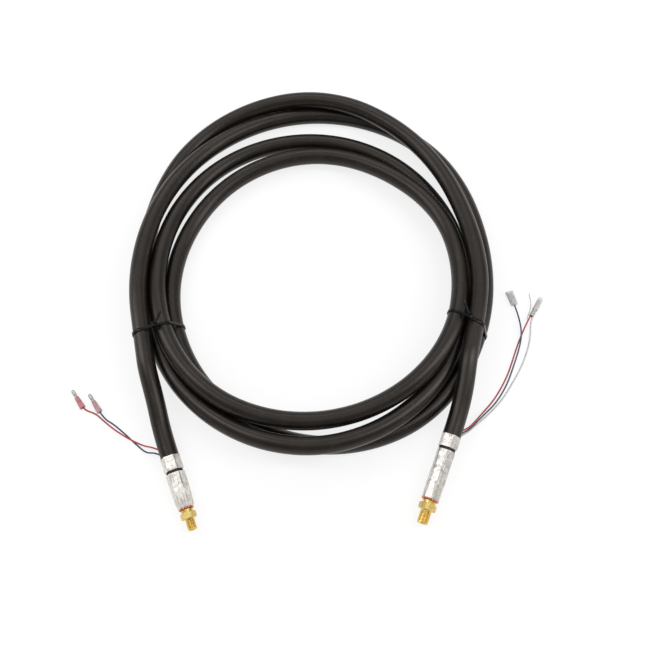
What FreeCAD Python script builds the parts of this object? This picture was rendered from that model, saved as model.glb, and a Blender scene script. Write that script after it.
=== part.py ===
import FreeCAD, Part

# Coaxial power cable assembly of a wire feed welding torch, wound into a coil and tied twice.
# Millimetres, +Z up, the cable lies on the plane Z = 0 and the origin is the middle of its footprint.
import math
import os

import Sketcher
from FreeCAD import Placement, Rotation, Vector

# Driving dimensions, one row of the sheet each
SIZES = (
    ("cable_diameter", 20.0),
    ("jacket_wall", 2.5),
    ("layer_clearance", 0.2),
    ("hose_diameter", 9.0),
    ("hose_bore", 6.0),
    ("coil_radius", 190.0),
    ("coil_centre_x", 0.4),
    ("coil_centre_y", 40.4),
    ("neck_wall", 1.0),
    ("fit_clearance", 0.1),
    ("collar_wall", 0.9),
    ("gap_ring_wall", 1.5),
    ("gap_ring_width", 2.8),
    ("sleeve_wall", 1.7),
    ("lip_width", 1.8),
    ("lip_spread", 0.3),
    ("spigot_length", 22.0),
    ("spigot_lead", 0.4),
    ("shoulder_drop", 0.8),
    ("thread_pitch", 1.0),
    ("thread_depth", 0.55),
    ("stud_chamfer", 0.8),
    ("nut_chamfer", 1.2),
    ("left_collar_length", 16.0),
    ("left_sleeve_length", 38.3),
    ("left_sleeve_front", 15.6),
    ("left_nut_across", 15.0),
    ("left_nut_length", 6.6),
    ("left_shoulder_length", 3.4),
    ("left_stud_diameter", 10.0),
    ("left_stud_length", 12.4),
    ("left_bore", 4.0),
    ("left_spigot_bore", 3.4),
    ("right_collar_length", 14.3),
    ("right_sleeve_length", 54.2),
    ("right_sleeve_front", 18.0),
    ("right_nut_across", 17.0),
    ("right_nut_length", 6.8),
    ("right_shoulder_length", 3.6),
    ("right_stud_diameter", 12.0),
    ("right_stud_length", 14.7),
    ("right_bore", 5.0),
    ("right_spigot_bore", 4.0),
    ("tie_width", 3.6),
    ("tie_thickness", 1.1),
    ("tie_clearance", 0.3),
    ("tie_head_height", 4.8),
    ("tie_head_length", 6.6),
    ("tie_head_width", 6.2),
    ("tie_head_fillet", 0.6),
    ("tie_tail_length", 22.0),
    ("tie_tail_width", 3.4),
    ("wire_diameter", 1.8),
    ("bullet_diameter", 4.0),
    ("bullet_length", 10.6),
    ("bullet_barrel", 3.6),
    ("bullet_sleeve_diameter", 6.8),
    ("bullet_sleeve_length", 14.5),
    ("spade_width", 6.4),
    ("spade_thickness", 2.4),
    ("spade_length", 8.0),
    ("spade_barrel", 3.6),
    ("spade_barrel_length", 7.0),
    ("boot_length", 18.0),
    ("boot_mouth", 9.2),
    ("boot_tail", 7.8),
    ("boot_height", 5.6),
    ("boot_wall", 0.7),
    ("socket_barrel", 5.4),
    ("socket_barrel_length", 10.0),
    ("socket_diameter", 4.6),
    ("socket_length", 13.0),
    ("sleeve_slide_diameter", 6.4),
    ("sleeve_slide_length", 17.0),
    ("strand_diameter", 0.9),
)

# Places on the coil's way round, from the torch end to the machine end: the bearing in degrees, then the lane outside
# the coil radius and the layer above the floor, both in cable diameters. Every turn passes both ties.
LEFT_TIE, RIGHT_TIE = 208.5, 333.3
STATIONS = (
    (LEFT_TIE, 1.25, 1.15),
    (190.0, 0.60, 1.20),
    (165.0, 0.20, 1.15),
    (127.0, 0.45, 0.45),
    (90.0, 0.90, 0.05),
    (50.0, 0.90, 0.10),
    (12.0, 0.30, 0.40),
    (RIGHT_TIE, 0.90, 0.10),
    (302.0, 1.70, 0.00),
    (270.0, 1.55, 0.05),
    (238.0, 0.55, 0.00),
    (LEFT_TIE, -0.55, 0.10),
    (165.0, -1.80, 0.05),
    (127.0, -2.30, 0.25),
    (90.0, -2.35, 0.35),
    (50.0, -2.30, 0.70),
    (12.0, -1.45, 0.95),
    (350.0, -1.05, 1.15),
    (RIGHT_TIE, -0.55, 1.40),
    (302.0, 0.15, 1.40),
    (270.0, 0.50, 1.05),
    (238.0, 0.65, 1.25),
    (LEFT_TIE, 0.05, 1.00),
    (190.0, -0.40, 0.80),
    (165.0, -0.75, 0.55),
    (127.0, -0.90, 0.10),
    (90.0, -1.15, 0.10),
    (50.0, -1.30, 0.20),
    (12.0, -0.95, 0.00),
    (RIGHT_TIE, -0.15, 0.35),
    (302.0, 1.05, 0.85),
    (270.0, 1.95, 1.35),
    (238.0, 1.50, 0.65),
    (LEFT_TIE, 0.70, 0.15),
    (165.0, 0.55, 0.15),
    (127.0, 1.65, 0.10),
    (90.0, 1.50, 0.90),
    (50.0, 0.20, 1.15),
    (12.0, -0.40, 1.35),
    (350.0, 0.05, 1.40),
    (RIGHT_TIE, 0.55, 1.30),
)
# Lane and layer slopes at the two ends of the coil, in cable diameters a radian
END_SLOPES = ((-3.3, 0.6), (2.2, 0.1))

# Ends of the cable, measured from the tied station next to each: a corner of the cable on the way, its height in
# cable diameters, and where the jacket ends. Then how far the fitting's axis is turned from -Y and how far it dips
# towards the floor, and the roll of the crimps and of the nut about that axis.
LEFT_CORNER, RIGHT_CORNER = (18.5, -73.4, 1.1), (-15.0, -71.6, 1.41)
LEFT_END, RIGHT_END = (36.4, -131.6), (-31.0, -122.1)
LEFT_AIM, RIGHT_AIM = (20.8, 3.7), (-20.9, 6.1)
LEFT_ROLLS, RIGHT_ROLLS = (33.0, -24.0), (-11.0, 18.0)

doc = FreeCAD.newDocument("cable_assembly")
sheet = doc.addObject("Spreadsheet::Sheet", "Sizes")
for row, (alias, value) in enumerate(SIZES, start=1):
    sheet.set(f"A{row}", alias)
    sheet.set(f"B{row}", str(value))
    sheet.setAlias(f"B{row}", alias)
doc.recompute()

NODES = []


def size(alias):
    """Value of one row of the sheet."""
    return float(sheet.get(alias))


def node(item, name, place=None):
    """Take an object as the sub-part called name, at a place of its own."""
    item.Label = name
    if place is not None:
        item.Placement = place
    NODES.append(item)
    return item


def feature(name, shape, place=None):
    """Sub-part whose shape is worked out below."""
    item = doc.addObject("Part::Feature", name)
    item.Shape = shape
    return node(item, name, place)


def primitive(kind, **bindings):
    """Part primitive with its sizes bound to the sheet."""
    item = doc.addObject(kind, kind.split("::")[1])
    for name, expression in bindings.items():
        if isinstance(expression, str):
            item.setExpression(name, expression)
        else:
            setattr(item, name, expression)
    return item


def cut(base, tool):
    """Base with the tool's space taken out."""
    item = doc.addObject("Part::Cut", "Cut")
    item.Base = base
    item.Tool = tool
    return item


def fuse(*shapes):
    """Shapes joined into one."""
    item = doc.addObject("Part::MultiFuse", "Fusion")
    item.Shapes = list(shapes)
    return item


def plane_of(body, role):
    """Origin plane or axis of a body."""
    return next(item for item in body.Origin.OriginFeatures if item.Role == role)


def outline_sketch(body, name, points):
    """Closed outline on the body's XZ plane, each point (radius, height) given as two expressions."""
    sketch = body.newObject("Sketcher::SketchObject", name)
    sketch.AttachmentSupport = [(plane_of(body, "XZ_Plane"), "")]
    sketch.MapMode = "FlatFace"
    corners = [Vector(float(sketch.evalExpression(x)), float(sketch.evalExpression(y)), 0) for x, y in points]
    count = len(corners)
    sketch.addGeometry([Part.LineSegment(corners[i], corners[(i + 1) % count]) for i in range(count)])
    for i in range(count):
        sketch.addConstraint(Sketcher.Constraint("Coincident", i, 2, (i + 1) % count, 1))
    for i, (point, corner) in enumerate(zip(points, corners)):
        for kind, expression, value, axis in (
            ("DistanceX", point[0], corner.x, -2),
            ("DistanceY", point[1], corner.y, -1),
        ):
            if abs(value) < 1e-9:
                sketch.addConstraint(Sketcher.Constraint("PointOnObject", i, 1, axis))
            elif value < 0:
                index = sketch.addConstraint(Sketcher.Constraint(kind, i, 1, -1, 1, -value))
                sketch.setExpression(f"Constraints[{index}]", f"-({expression})")
            else:
                index = sketch.addConstraint(Sketcher.Constraint(kind, -1, 1, i, 1, value))
                sketch.setExpression(f"Constraints[{index}]", expression)
    return sketch


def turned(body, name, points, kind="PartDesign::Revolution"):
    """Outline turned about the body's Z axis, added to it or cut from it."""
    sketch = outline_sketch(body, name + "_outline", points)
    item = body.newObject(kind, name)
    item.Profile = sketch
    item.ReferenceAxis = (sketch, ["V_Axis"])
    item.Angle = 360
    doc.recompute()
    return item


class Route:
    """Line of a cable: its edges, its length and its ends."""

    def __init__(self, edges, start, aim):
        self.edges = edges
        self.wire = Part.Wire(edges)
        self.start = start
        self.aim = aim

    def shell(self, radius):
        """Open skin of a round tube along the route."""
        ring = Part.Wire(Part.makeCircle(radius, self.start, self.aim))
        return self.wire.makePipeShell([ring], False, False)

    def tube(self, radius, bore=0.0):
        """Closed round tube along the route, with a bore where one is given."""
        if bore == 0.0:
            ring = Part.Wire(Part.makeCircle(radius, self.start, self.aim))
            return self.wire.makePipeShell([ring], True, False)
        last = self.edges[-1]
        tip = last.valueAt(last.LastParameter)
        tip_aim = last.tangentAt(last.LastParameter)
        faces = self.shell(radius).Faces + self.shell(bore).Faces
        for centre, aim in ((self.start, self.aim), (tip, tip_aim)):
            rings = [Part.Wire(Part.makeCircle(r, centre, aim)) for r in (radius, bore)]
            faces.append(Part.makeFace(rings, "Part::FaceMakerBullseye"))
        skin = Part.Shell(faces)
        skin.sewShape()
        return Part.Solid(skin)


def arc_between(start, aim, end):
    """Edge that leaves start along aim and ends at end: an arc, or a line where they are in line."""
    chord = end - start
    along = Vector(chord).normalize()
    half = math.acos(max(-1.0, min(1.0, aim.dot(along))))
    if half < 1e-6:
        return Part.LineSegment(start, end).toShape(), math.inf
    side = (along - aim * aim.dot(along)).normalize()
    radius = chord.Length / (2 * math.sin(half))
    middle = start + aim * (radius * math.sin(half)) + side * (radius * (1 - math.cos(half)))
    return Part.Arc(start, middle, end).toShape(), radius


def biarc(start, start_aim, end, end_aim):
    """Two arcs that join two places, tangent to the aim at each."""
    chord = end - start
    aims = start_aim + end_aim
    square = 2 * (1 - start_aim.dot(end_aim))
    reach = (math.sqrt(chord.dot(aims) ** 2 + square * chord.dot(chord)) - chord.dot(aims)) / square
    first = start + start_aim * reach
    second = end - end_aim * reach
    joint = (first + second) * 0.5
    return [
        arc_between(start, start_aim, joint),
        arc_between(joint, (second - first).normalize(), end),
    ]


def rounded_route(points, name, bend_diameters, diameter):
    """Straight runs joined by tangent arcs, each as large as its two runs allow."""
    edges = []
    radii = []
    here = points[0]
    for before, corner, after in zip(points, points[1:], points[2:]):
        into = Vector(corner - before).normalize()
        out = Vector(after - corner).normalize()
        turn = math.acos(max(-1.0, min(1.0, into.dot(out))))
        reach = 0.45 * min((corner - before).Length, (after - corner).Length)
        radii.append(reach / math.tan(turn / 2))
        enter = corner - into * reach
        leave = corner + out * reach
        edges.append(Part.LineSegment(here, enter).toShape())
        edges.append(arc_between(enter, into, leave)[0])
        here = leave
    edges.append(Part.LineSegment(here, points[-1]).toShape())
    short = min(radii) < bend_diameters * diameter
    runs = [(b - a).Length for a, b in zip(points, points[1:])]
    uneven = max(max(a / b, b / a) for a, b in zip(runs, runs[1:]))
    print(f"{name}: radii {[round(r, 1) for r in radii]} runs {[round(r, 1) for r in runs]}",
          "TOO TIGHT" if short else "", "UNEVEN" if uneven > 2.05 else "")
    return Route(edges, points[0], Vector(points[1] - points[0]).normalize())


# Shared sizes, read from the sheet
cable = size("cable_diameter")
cable_radius = cable / 2
jacket_bore = cable_radius - size("jacket_wall")
strand_radius = jacket_bore - size("layer_clearance")
neck_radius = jacket_bore + size("neck_wall")
hose_radius = size("hose_diameter") / 2
strand_bore = hose_radius + size("layer_clearance")
wire = size("wire_diameter")
coil_centre = Vector(size("coil_centre_x"), size("coil_centre_y"), 0)


def station_places():
    """Places and aims of the coil's stations, aims from the slopes towards the neighbours."""
    turns = [math.radians(STATIONS[0][0])]
    for bearing, lane, layer in STATIONS[1:]:
        step = (turns[-1] - math.radians(bearing)) % (2 * math.pi)
        turns.append(turns[-1] - step)
    lanes = [lane for bearing, lane, layer in STATIONS]
    layers = [layer for bearing, lane, layer in STATIONS]

    def slopes(values, ends):
        steps = [a - b for a, b in zip(turns, turns[1:])]
        rates = [(b - a) / step for a, b, step in zip(values, values[1:], steps)]
        inner = [
            (steps[i + 1] * rates[i] + steps[i] * rates[i + 1]) / (steps[i] + steps[i + 1])
            for i in range(len(steps) - 1)
        ]
        return [ends[0]] + inner + [ends[1]]

    lane_slopes = slopes(lanes, [end[0] for end in END_SLOPES])
    layer_slopes = slopes(layers, [end[1] for end in END_SLOPES])
    places = []
    aims = []
    for turn, lane, layer, lane_slope, layer_slope in zip(turns, lanes, layers, lane_slopes, layer_slopes):
        outward = Vector(math.cos(turn), math.sin(turn), 0)
        onward = Vector(math.sin(turn), -math.cos(turn), 0)
        radius = size("coil_radius") + lane * cable
        places.append(coil_centre + outward * radius + Vector(0, 0, (0.5 + layer) * cable))
        aim = outward * (lane_slope * cable) + onward * radius + Vector(0, 0, layer_slope * cable)
        aims.append(aim.normalize())
    return places, aims


PLACES, AIMS = station_places()
coil_edges = []
coil_radii = []
for k in range(len(PLACES) - 1):
    for edge, radius in biarc(PLACES[k], AIMS[k], PLACES[k + 1], AIMS[k + 1]):
        coil_edges.append(edge)
        coil_radii.append(radius)
coil_start = PLACES[0] - AIMS[0] * cable
coil_end = PLACES[-1] + AIMS[-1] * cable
coil_edges.insert(0, Part.LineSegment(coil_start, PLACES[0]).toShape())
coil_edges.append(Part.LineSegment(PLACES[-1], coil_end).toShape())
coil = Route(coil_edges, coil_start, AIMS[0])
print(f"coil: radii {min(coil_radii):.0f} to {max(coil_radii):.0f}, length {coil.wire.Length:.0f}")


def least_gap(route, diameter, step=4.0, apart=200.0):
    """Least distance between skins of the same tube, at points more than a length apart along it."""
    points = route.wire.discretize(Distance=step)
    skip = int(apart / step)
    cells = {}
    for i, point in enumerate(points):
        cells.setdefault((int(point.x // 30), int(point.y // 30)), []).append(i)
    least = (math.inf, 0, 0)
    for i, point in enumerate(points):
        column, line = int(point.x // 30), int(point.y // 30)
        for dx in (-1, 0, 1):
            for dy in (-1, 0, 1):
                for j in cells.get((column + dx, line + dy), ()):
                    if j - i > skip:
                        least = min(least, (point.distanceToPoint(points[j]), i, j))
    return least[0] - diameter, points[least[1]], points[least[2]]


gap, here, there = least_gap(coil, cable)
lowest = min(point.z for point in coil.wire.discretize(Distance=4.0)) - cable_radius
print(f"coil: least gap {gap:.2f} at {tuple(round(c) for c in here)}, {tuple(round(c) for c in there)}")
print(f"coil: lowest {lowest:.2f}, highest {max(p.z for p in coil.wire.discretize(Distance=4.0)) + cable_radius:.2f}")


class Fitting:
    """Crimped fitting at one end of the cable: its axis, which runs from the jacket's end to the stud's tip."""

    def __init__(self, side, station, end, aim_angles, rolls):
        self.side = side
        turn, dip = (math.radians(angle) for angle in aim_angles)
        self.aim = Vector(math.sin(turn) * math.cos(dip), -math.cos(turn) * math.cos(dip), -math.sin(dip))
        self.flank = self.aim.cross(Vector(0, 0, 1 if side == "left" else -1)).normalize()
        self.crimp_roll, self.nut_roll = rolls
        lengths = ("collar_length", "sleeve_length", "shoulder_length", "nut_length", "stud_length")
        collar, sleeve, shoulder, nut, stud = (size(f"{side}_{name}") for name in lengths)
        self.collar_end = collar
        self.sleeve_start = collar + size("gap_ring_width")
        self.sleeve_end = self.sleeve_start + sleeve
        self.shoulder_start = self.sleeve_end + size("lip_width")
        self.nut_start = self.shoulder_start + shoulder
        self.stud_start = self.nut_start + nut
        self.tip = self.stud_start + stud
        corner = math.radians(abs(self.nut_roll))
        nut_reach = size(f"{side}_nut_across") / math.sqrt(3) * math.cos(corner)
        height = nut_reach * math.cos(dip) + self.stud_start * math.sin(dip)
        self.base = Vector(station.x + end[0], station.y + end[1], height)

    def place(self, along, roll=0.0):
        """Placement at a length along the axis: local Z runs to the tip and local X points up."""
        up = Vector(0, 0, 1)
        turn = Rotation(up, self.aim.cross(up), self.aim, "ZXY").multiply(Rotation(Vector(0, 0, 1), roll))
        return Placement(self.base + self.aim * along, turn)

    def point(self, along, flank=0.0, rise=0.0):
        """Point beside the axis, flank away from the middle of the assembly."""
        return self.base + self.aim * along + self.flank * flank + Vector(0, 0, rise)

    def floor_point(self, x, y, height):
        """Point at a height above the floor, measured along X and Y from the jacket's end."""
        return Vector(self.base.x + x, self.base.y + y, height)


left = Fitting("left", PLACES[0], LEFT_END, LEFT_AIM, LEFT_ROLLS)
right = Fitting("right", PLACES[-1], RIGHT_END, RIGHT_AIM, RIGHT_ROLLS)


def tail_route(fitting, station, start, aim, corner, last_run):
    """Cable from the coil's end to the fitting, in line with both, round one corner measured from the station."""
    x, y, layer = corner
    bend = Vector(station.x + x, station.y + y, layer * cable)
    points = [start, start + aim * cable, bend, fitting.point(-last_run), fitting.base]
    return rounded_route(points, f"{fitting.side} tail", 3.0, cable)


left_tail = tail_route(left, PLACES[0], coil_start, AIMS[0] * -1, LEFT_CORNER, 28.0)
right_tail = tail_route(right, PLACES[-1], coil_end, AIMS[-1], RIGHT_CORNER, 24.0)


def reversed_edges(route):
    """Edges of a route from its end to its start."""
    edges = []
    for edge in reversed(route.edges):
        if isinstance(edge.Curve, Part.Line):
            ends = [edge.valueAt(edge.LastParameter), edge.valueAt(edge.FirstParameter)]
            edges.append(Part.LineSegment(*ends).toShape())
        else:
            middle = (edge.FirstParameter + edge.LastParameter) / 2
            stops = (edge.LastParameter, middle, edge.FirstParameter)
            edges.append(Part.Arc(*[edge.valueAt(stop) for stop in stops]).toShape())
    return edges


whole = Route(reversed_edges(left_tail) + coil.edges + right_tail.edges, left.base, left.aim * -1)
gap, here, there = least_gap(whole, cable)
print(f"whole: length {whole.wire.Length:.0f}, least gap {gap:.2f} at "
      f"{tuple(round(c) for c in here - coil_centre)}, {tuple(round(c) for c in there - coil_centre)}")


# Pieces of the cable
def bore_shape(start, end, radius):
    """Round bar between two places, for a bore or a stepped end."""
    span = end - start
    return Part.makeCylinder(radius, span.Length, start, span)


# How far a wire runs straight out of the jacket's flank, and how far that leans back along the jacket
WIRE_REACH, WIRE_LEAN = 4.0, 6.0


class WireExit:
    """Hole in the flank of the jacket that a control wire comes out of."""

    def __init__(self, fitting, behind, rise):
        self.fitting = fitting
        self.start = fitting.point(-behind, jacket_bore + size("layer_clearance"), rise)
        self.mouth = fitting.point(-behind - WIRE_LEAN, cable_radius + WIRE_REACH, rise)

    def hole(self):
        """Space that the wire takes out of the jacket."""
        radius = wire / 2 + size("layer_clearance")
        inward = (self.start - self.mouth).normalize()
        return bore_shape(self.mouth, self.start + inward, radius)


left_exits = {"red": WireExit(left, 10.4, -2.0), "blue": WireExit(left, 4.5, -2.0)}
right_exits = {
    "red": WireExit(right, 7.6, -1.2),
    "blue": WireExit(right, 5.0, -3.1),
    "white": WireExit(right, 2.4, -5.0),
}


def jacket_tail(fitting, route, exits):
    """Jacket from the coil to the fitting, with a squeezed neck under the collar and the wires' holes."""
    tube = route.tube(cable_radius, jacket_bore)
    neck_end = fitting.point(fitting.collar_end)
    neck = bore_shape(fitting.base, neck_end, neck_radius)
    neck = neck.cut(bore_shape(fitting.base, neck_end, jacket_bore))
    return tube.fuse(neck).cut([exit_.hole() for exit_ in exits.values()])


def extended(route, before, after):
    """Route with a straight stretch added at each end."""
    last = route.edges[-1]
    end = last.valueAt(last.LastParameter)
    end_aim = last.tangentAt(last.LastParameter)
    start = route.start - route.aim * before
    first = Part.LineSegment(start, route.start).toShape()
    final = Part.LineSegment(end, end + end_aim * after).toShape()
    return Route([first] + route.edges + [final], start, route.aim)


feature("jacket_coil", coil.tube(cable_radius, jacket_bore))
feature("jacket_tail_left", jacket_tail(left, left_tail, left_exits))
feature("jacket_tail_right", jacket_tail(right, right_tail, right_exits))
strand_line = extended(whole, left.sleeve_start, right.sleeve_start)
feature("copper_strands", strand_line.tube(strand_radius, strand_bore))
hose_line = extended(whole, left.shoulder_start, right.shoulder_start)
feature("inner_hose", hose_line.tube(hose_radius, size("hose_bore") / 2))


# Radii inside the fittings, as expressions over the sheet
JACKET_BORE = "(Sizes.cable_diameter / 2 - Sizes.jacket_wall)"
COLLAR_BORE = f"({JACKET_BORE} + Sizes.neck_wall + Sizes.fit_clearance)"
SLEEVE_REAR = f"(2 * ({JACKET_BORE} + Sizes.sleeve_wall))"
SLEEVE_FRONT_WALL = "(Sizes.sleeve_wall * 0.75)"


# Crimped fittings
def collar(fitting):
    """Six sided collar squeezed onto the jacket's neck."""
    length = f"Sizes.{fitting.side}_collar_length"
    flat = f"({COLLAR_BORE} + Sizes.collar_wall)"
    bar = primitive("Part::Prism", Polygon=6, Circumradius=f"2 * {flat} / sqrt(3)", Height=length)
    bore = primitive("Part::Cylinder", Radius=COLLAR_BORE, Height=length)
    return node(cut(bar, bore), f"collar_{fitting.side}", fitting.place(0.0, fitting.crimp_roll))


def gap_ring(fitting):
    """Black ring between the collar and the crimp sleeve."""
    width = "Sizes.gap_ring_width"
    outer = primitive("Part::Cylinder", Radius=f"{JACKET_BORE} + Sizes.gap_ring_wall", Height=width)
    inner = primitive("Part::Cylinder", Radius=JACKET_BORE, Height=width)
    return node(cut(outer, inner), f"gap_ring_{fitting.side}", fitting.place(fitting.collar_end))


# Crimp sleeve sections: share of the length, and width across flats as a share of the way from front to rear
LEFT_SECTIONS = ((0.0, 1.0), (0.06, 1.08), (0.62, 0.92), (0.85, 0.5), (1.0, 0.0))
RIGHT_SECTIONS = (
    (0.0, 0.9),
    (0.1, 1.25),
    (0.16, 0.35),
    (0.38, 0.2),
    (0.43, 1.0),
    (0.48, 0.2),
    (0.68, 0.1),
    (0.73, 0.9),
    (0.78, 0.0),
    (1.0, -0.25),
)


def crimp_sleeve(fitting, sections):
    """Six sided crimp sleeve over the strands, its flats pressed in by the crimping jaws."""
    side = fitting.side
    rings = []
    for share, width in sections:
        front = f"Sizes.{side}_sleeve_front"
        across = f"{front} + ({width}) * ({SLEEVE_REAR} - {front})"
        ring = primitive("Part::RegularPolygon", Polygon=6, Circumradius=f"({across}) / sqrt(3)")
        ring.setExpression("Placement.Base.z", f"Sizes.{side}_sleeve_length * {share}")
        rings.append(ring)
    loft = doc.addObject("Part::Loft", f"{side}_sleeve_loft")
    loft.Sections = rings
    loft.Solid = True
    loft.Ruled = True
    bore = primitive(
        "Part::Cone",
        Radius1=f"{SLEEVE_REAR} / 2 - Sizes.sleeve_wall",
        Radius2=f"Sizes.{side}_sleeve_front / 2 - {SLEEVE_FRONT_WALL}",
        Height=f"Sizes.{side}_sleeve_length",
    )
    return node(cut(loft, bore), f"crimp_sleeve_{side}", fitting.place(fitting.sleeve_start, fitting.crimp_roll))


def strand_end(fitting):
    """Copper strands gripped in the sleeve, their cut ends spread in a lip at its front."""
    side = fitting.side
    length = f"Sizes.{side}_sleeve_length"
    clear = "Sizes.layer_clearance"
    rear = f"{SLEEVE_REAR} / 2 - Sizes.sleeve_wall - {clear}"
    front = f"Sizes.{side}_sleeve_front / 2 - {SLEEVE_FRONT_WALL} - {clear}"
    lip = f"Sizes.{side}_sleeve_front / 2 + Sizes.lip_spread"
    inner = f"Sizes.hose_diameter / 2 + {clear}"
    body = doc.addObject("PartDesign::Body", f"strand_end_{side}")
    turned(body, f"strands_{side}", [
        (inner, "0"),
        (rear, "0"),
        (front, length),
        (lip, length),
        (lip, f"{length} + Sizes.lip_width"),
        (inner, f"{length} + Sizes.lip_width"),
    ])
    return node(body, f"strand_end_{side}", fitting.place(fitting.sleeve_start, fitting.crimp_roll))


def connector(fitting):
    """Brass connector: spigot inside the hose, shoulder, nut and threaded stud, with a stepped bore."""
    side = fitting.side
    sizes = {name: f"Sizes.{side}_{name}" for name in (
        "shoulder_length", "nut_across", "nut_length", "stud_diameter", "stud_length", "bore", "spigot_bore",
    )}
    spigot = "Sizes.spigot_length"
    nut_rear = f"{spigot} + {sizes['shoulder_length']}"
    nut_front = f"{nut_rear} + {sizes['nut_length']}"
    tip = f"{nut_front} + {sizes['stud_length']}"
    stud = f"{sizes['stud_diameter']} / 2"
    spigot_radius = "Sizes.hose_bore / 2 - Sizes.fit_clearance"
    rim = f"{sizes['nut_across']} / 2 - Sizes.fit_clearance"
    body = doc.addObject("PartDesign::Body", f"connector_{side}")
    turned(body, f"blank_{side}", [
        ("0", "0"),
        (f"{spigot_radius} - Sizes.spigot_lead", "0"),
        (spigot_radius, "Sizes.spigot_lead * 4"),
        (spigot_radius, spigot),
        (f"{sizes['nut_across']} / 2 - Sizes.shoulder_drop", spigot),
        (rim, nut_rear),
        (rim, nut_front),
        (stud, nut_front),
        (stud, f"{tip} - Sizes.stud_chamfer"),
        (f"{stud} - Sizes.stud_chamfer", tip),
        ("0", tip),
    ])
    nut = body.newObject("PartDesign::AdditivePrism", f"nut_{side}")
    nut.Polygon = 6
    nut.setExpression("Circumradius", f"{sizes['nut_across']} / sqrt(3)")
    nut.setExpression("Height", sizes["nut_length"])
    nut.setExpression("AttachmentOffset.Base.z", nut_rear)
    nut.AttachmentSupport = [(plane_of(body, "XY_Plane"), "")]
    nut.MapMode = "FlatFace"
    doc.recompute()
    flat = f"{sizes['nut_across']} / 2"
    corner = f"{sizes['nut_across']} / 2 * 1.3"
    drop = "Sizes.nut_chamfer"
    for name, face, sign in (("front", nut_front, "-"), ("rear", nut_rear, "+")):
        turned(body, f"{name}_chamfer_{side}", [
            (flat, face),
            (corner, face),
            (corner, f"{face} {sign} {drop} * 1.3"),
        ], "PartDesign::Groove")
    start = f"{nut_front} + Sizes.thread_pitch * 1.5"
    groove = turned(body, f"thread_{side}", [
        (f"{stud} - Sizes.thread_depth", f"{start} + Sizes.thread_pitch * 0.5"),
        (f"{stud} + 0.2", f"{start} - 0.1"),
        (f"{stud} + 0.2", f"{start} + Sizes.thread_pitch * 0.96"),
    ], "PartDesign::Groove")
    crests = int(size(f"{side}_stud_length") / size("thread_pitch")) - 2
    pattern = body.newObject("PartDesign::LinearPattern", f"crests_{side}")
    pattern.Originals = [groove]
    pattern.Direction = (plane_of(body, "Z_Axis"), [""])
    pattern.Length = (crests - 1) * size("thread_pitch")
    pattern.Occurrences = crests
    body.Tip = pattern
    doc.recompute()
    for name, start, end in (("spigot_bore", "0", tip), ("bore", spigot, tip)):
        bore = body.newObject("PartDesign::SubtractiveCylinder", f"{name}_{side}")
        bore.setExpression("Radius", f"{sizes[name]} / 2")
        bore.setExpression("Height", f"{end} - {start}")
        bore.setExpression("AttachmentOffset.Base.z", start)
        bore.AttachmentSupport = [(plane_of(body, "XY_Plane"), "")]
        bore.MapMode = "FlatFace"
        body.Tip = bore
        doc.recompute()
    rear = fitting.shoulder_start - size("spigot_length")
    return node(body, f"connector_{side}", fitting.place(rear, fitting.nut_roll))


for fitting, sections in ((left, LEFT_SECTIONS), (right, RIGHT_SECTIONS)):
    collar(fitting)
    gap_ring(fitting)
    crimp_sleeve(fitting, sections)
    strand_end(fitting)
    connector(fitting)


# Ties: where the bundle's middle lies, outside the coil radius, and how far to each side of it and how high the
# strands are looked for, in cable diameters
TIE_LANE, TIE_REACH, TIE_TOP = 0.25, 2.6, 4.0


def outer_corners(points):
    """Corners of the smallest convex outline round a few points, counterclockwise."""
    ordered = sorted(points)

    def half(sequence):
        chain = []
        for point in sequence:
            while len(chain) > 1 and (
                (chain[-1][0] - chain[-2][0]) * (point[1] - chain[-2][1])
                - (chain[-1][1] - chain[-2][1]) * (point[0] - chain[-2][0])
            ) <= 0:
                chain.pop()
            chain.append(point)
        return chain[:-1]

    return half(ordered) + half(reversed(ordered))


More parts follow.
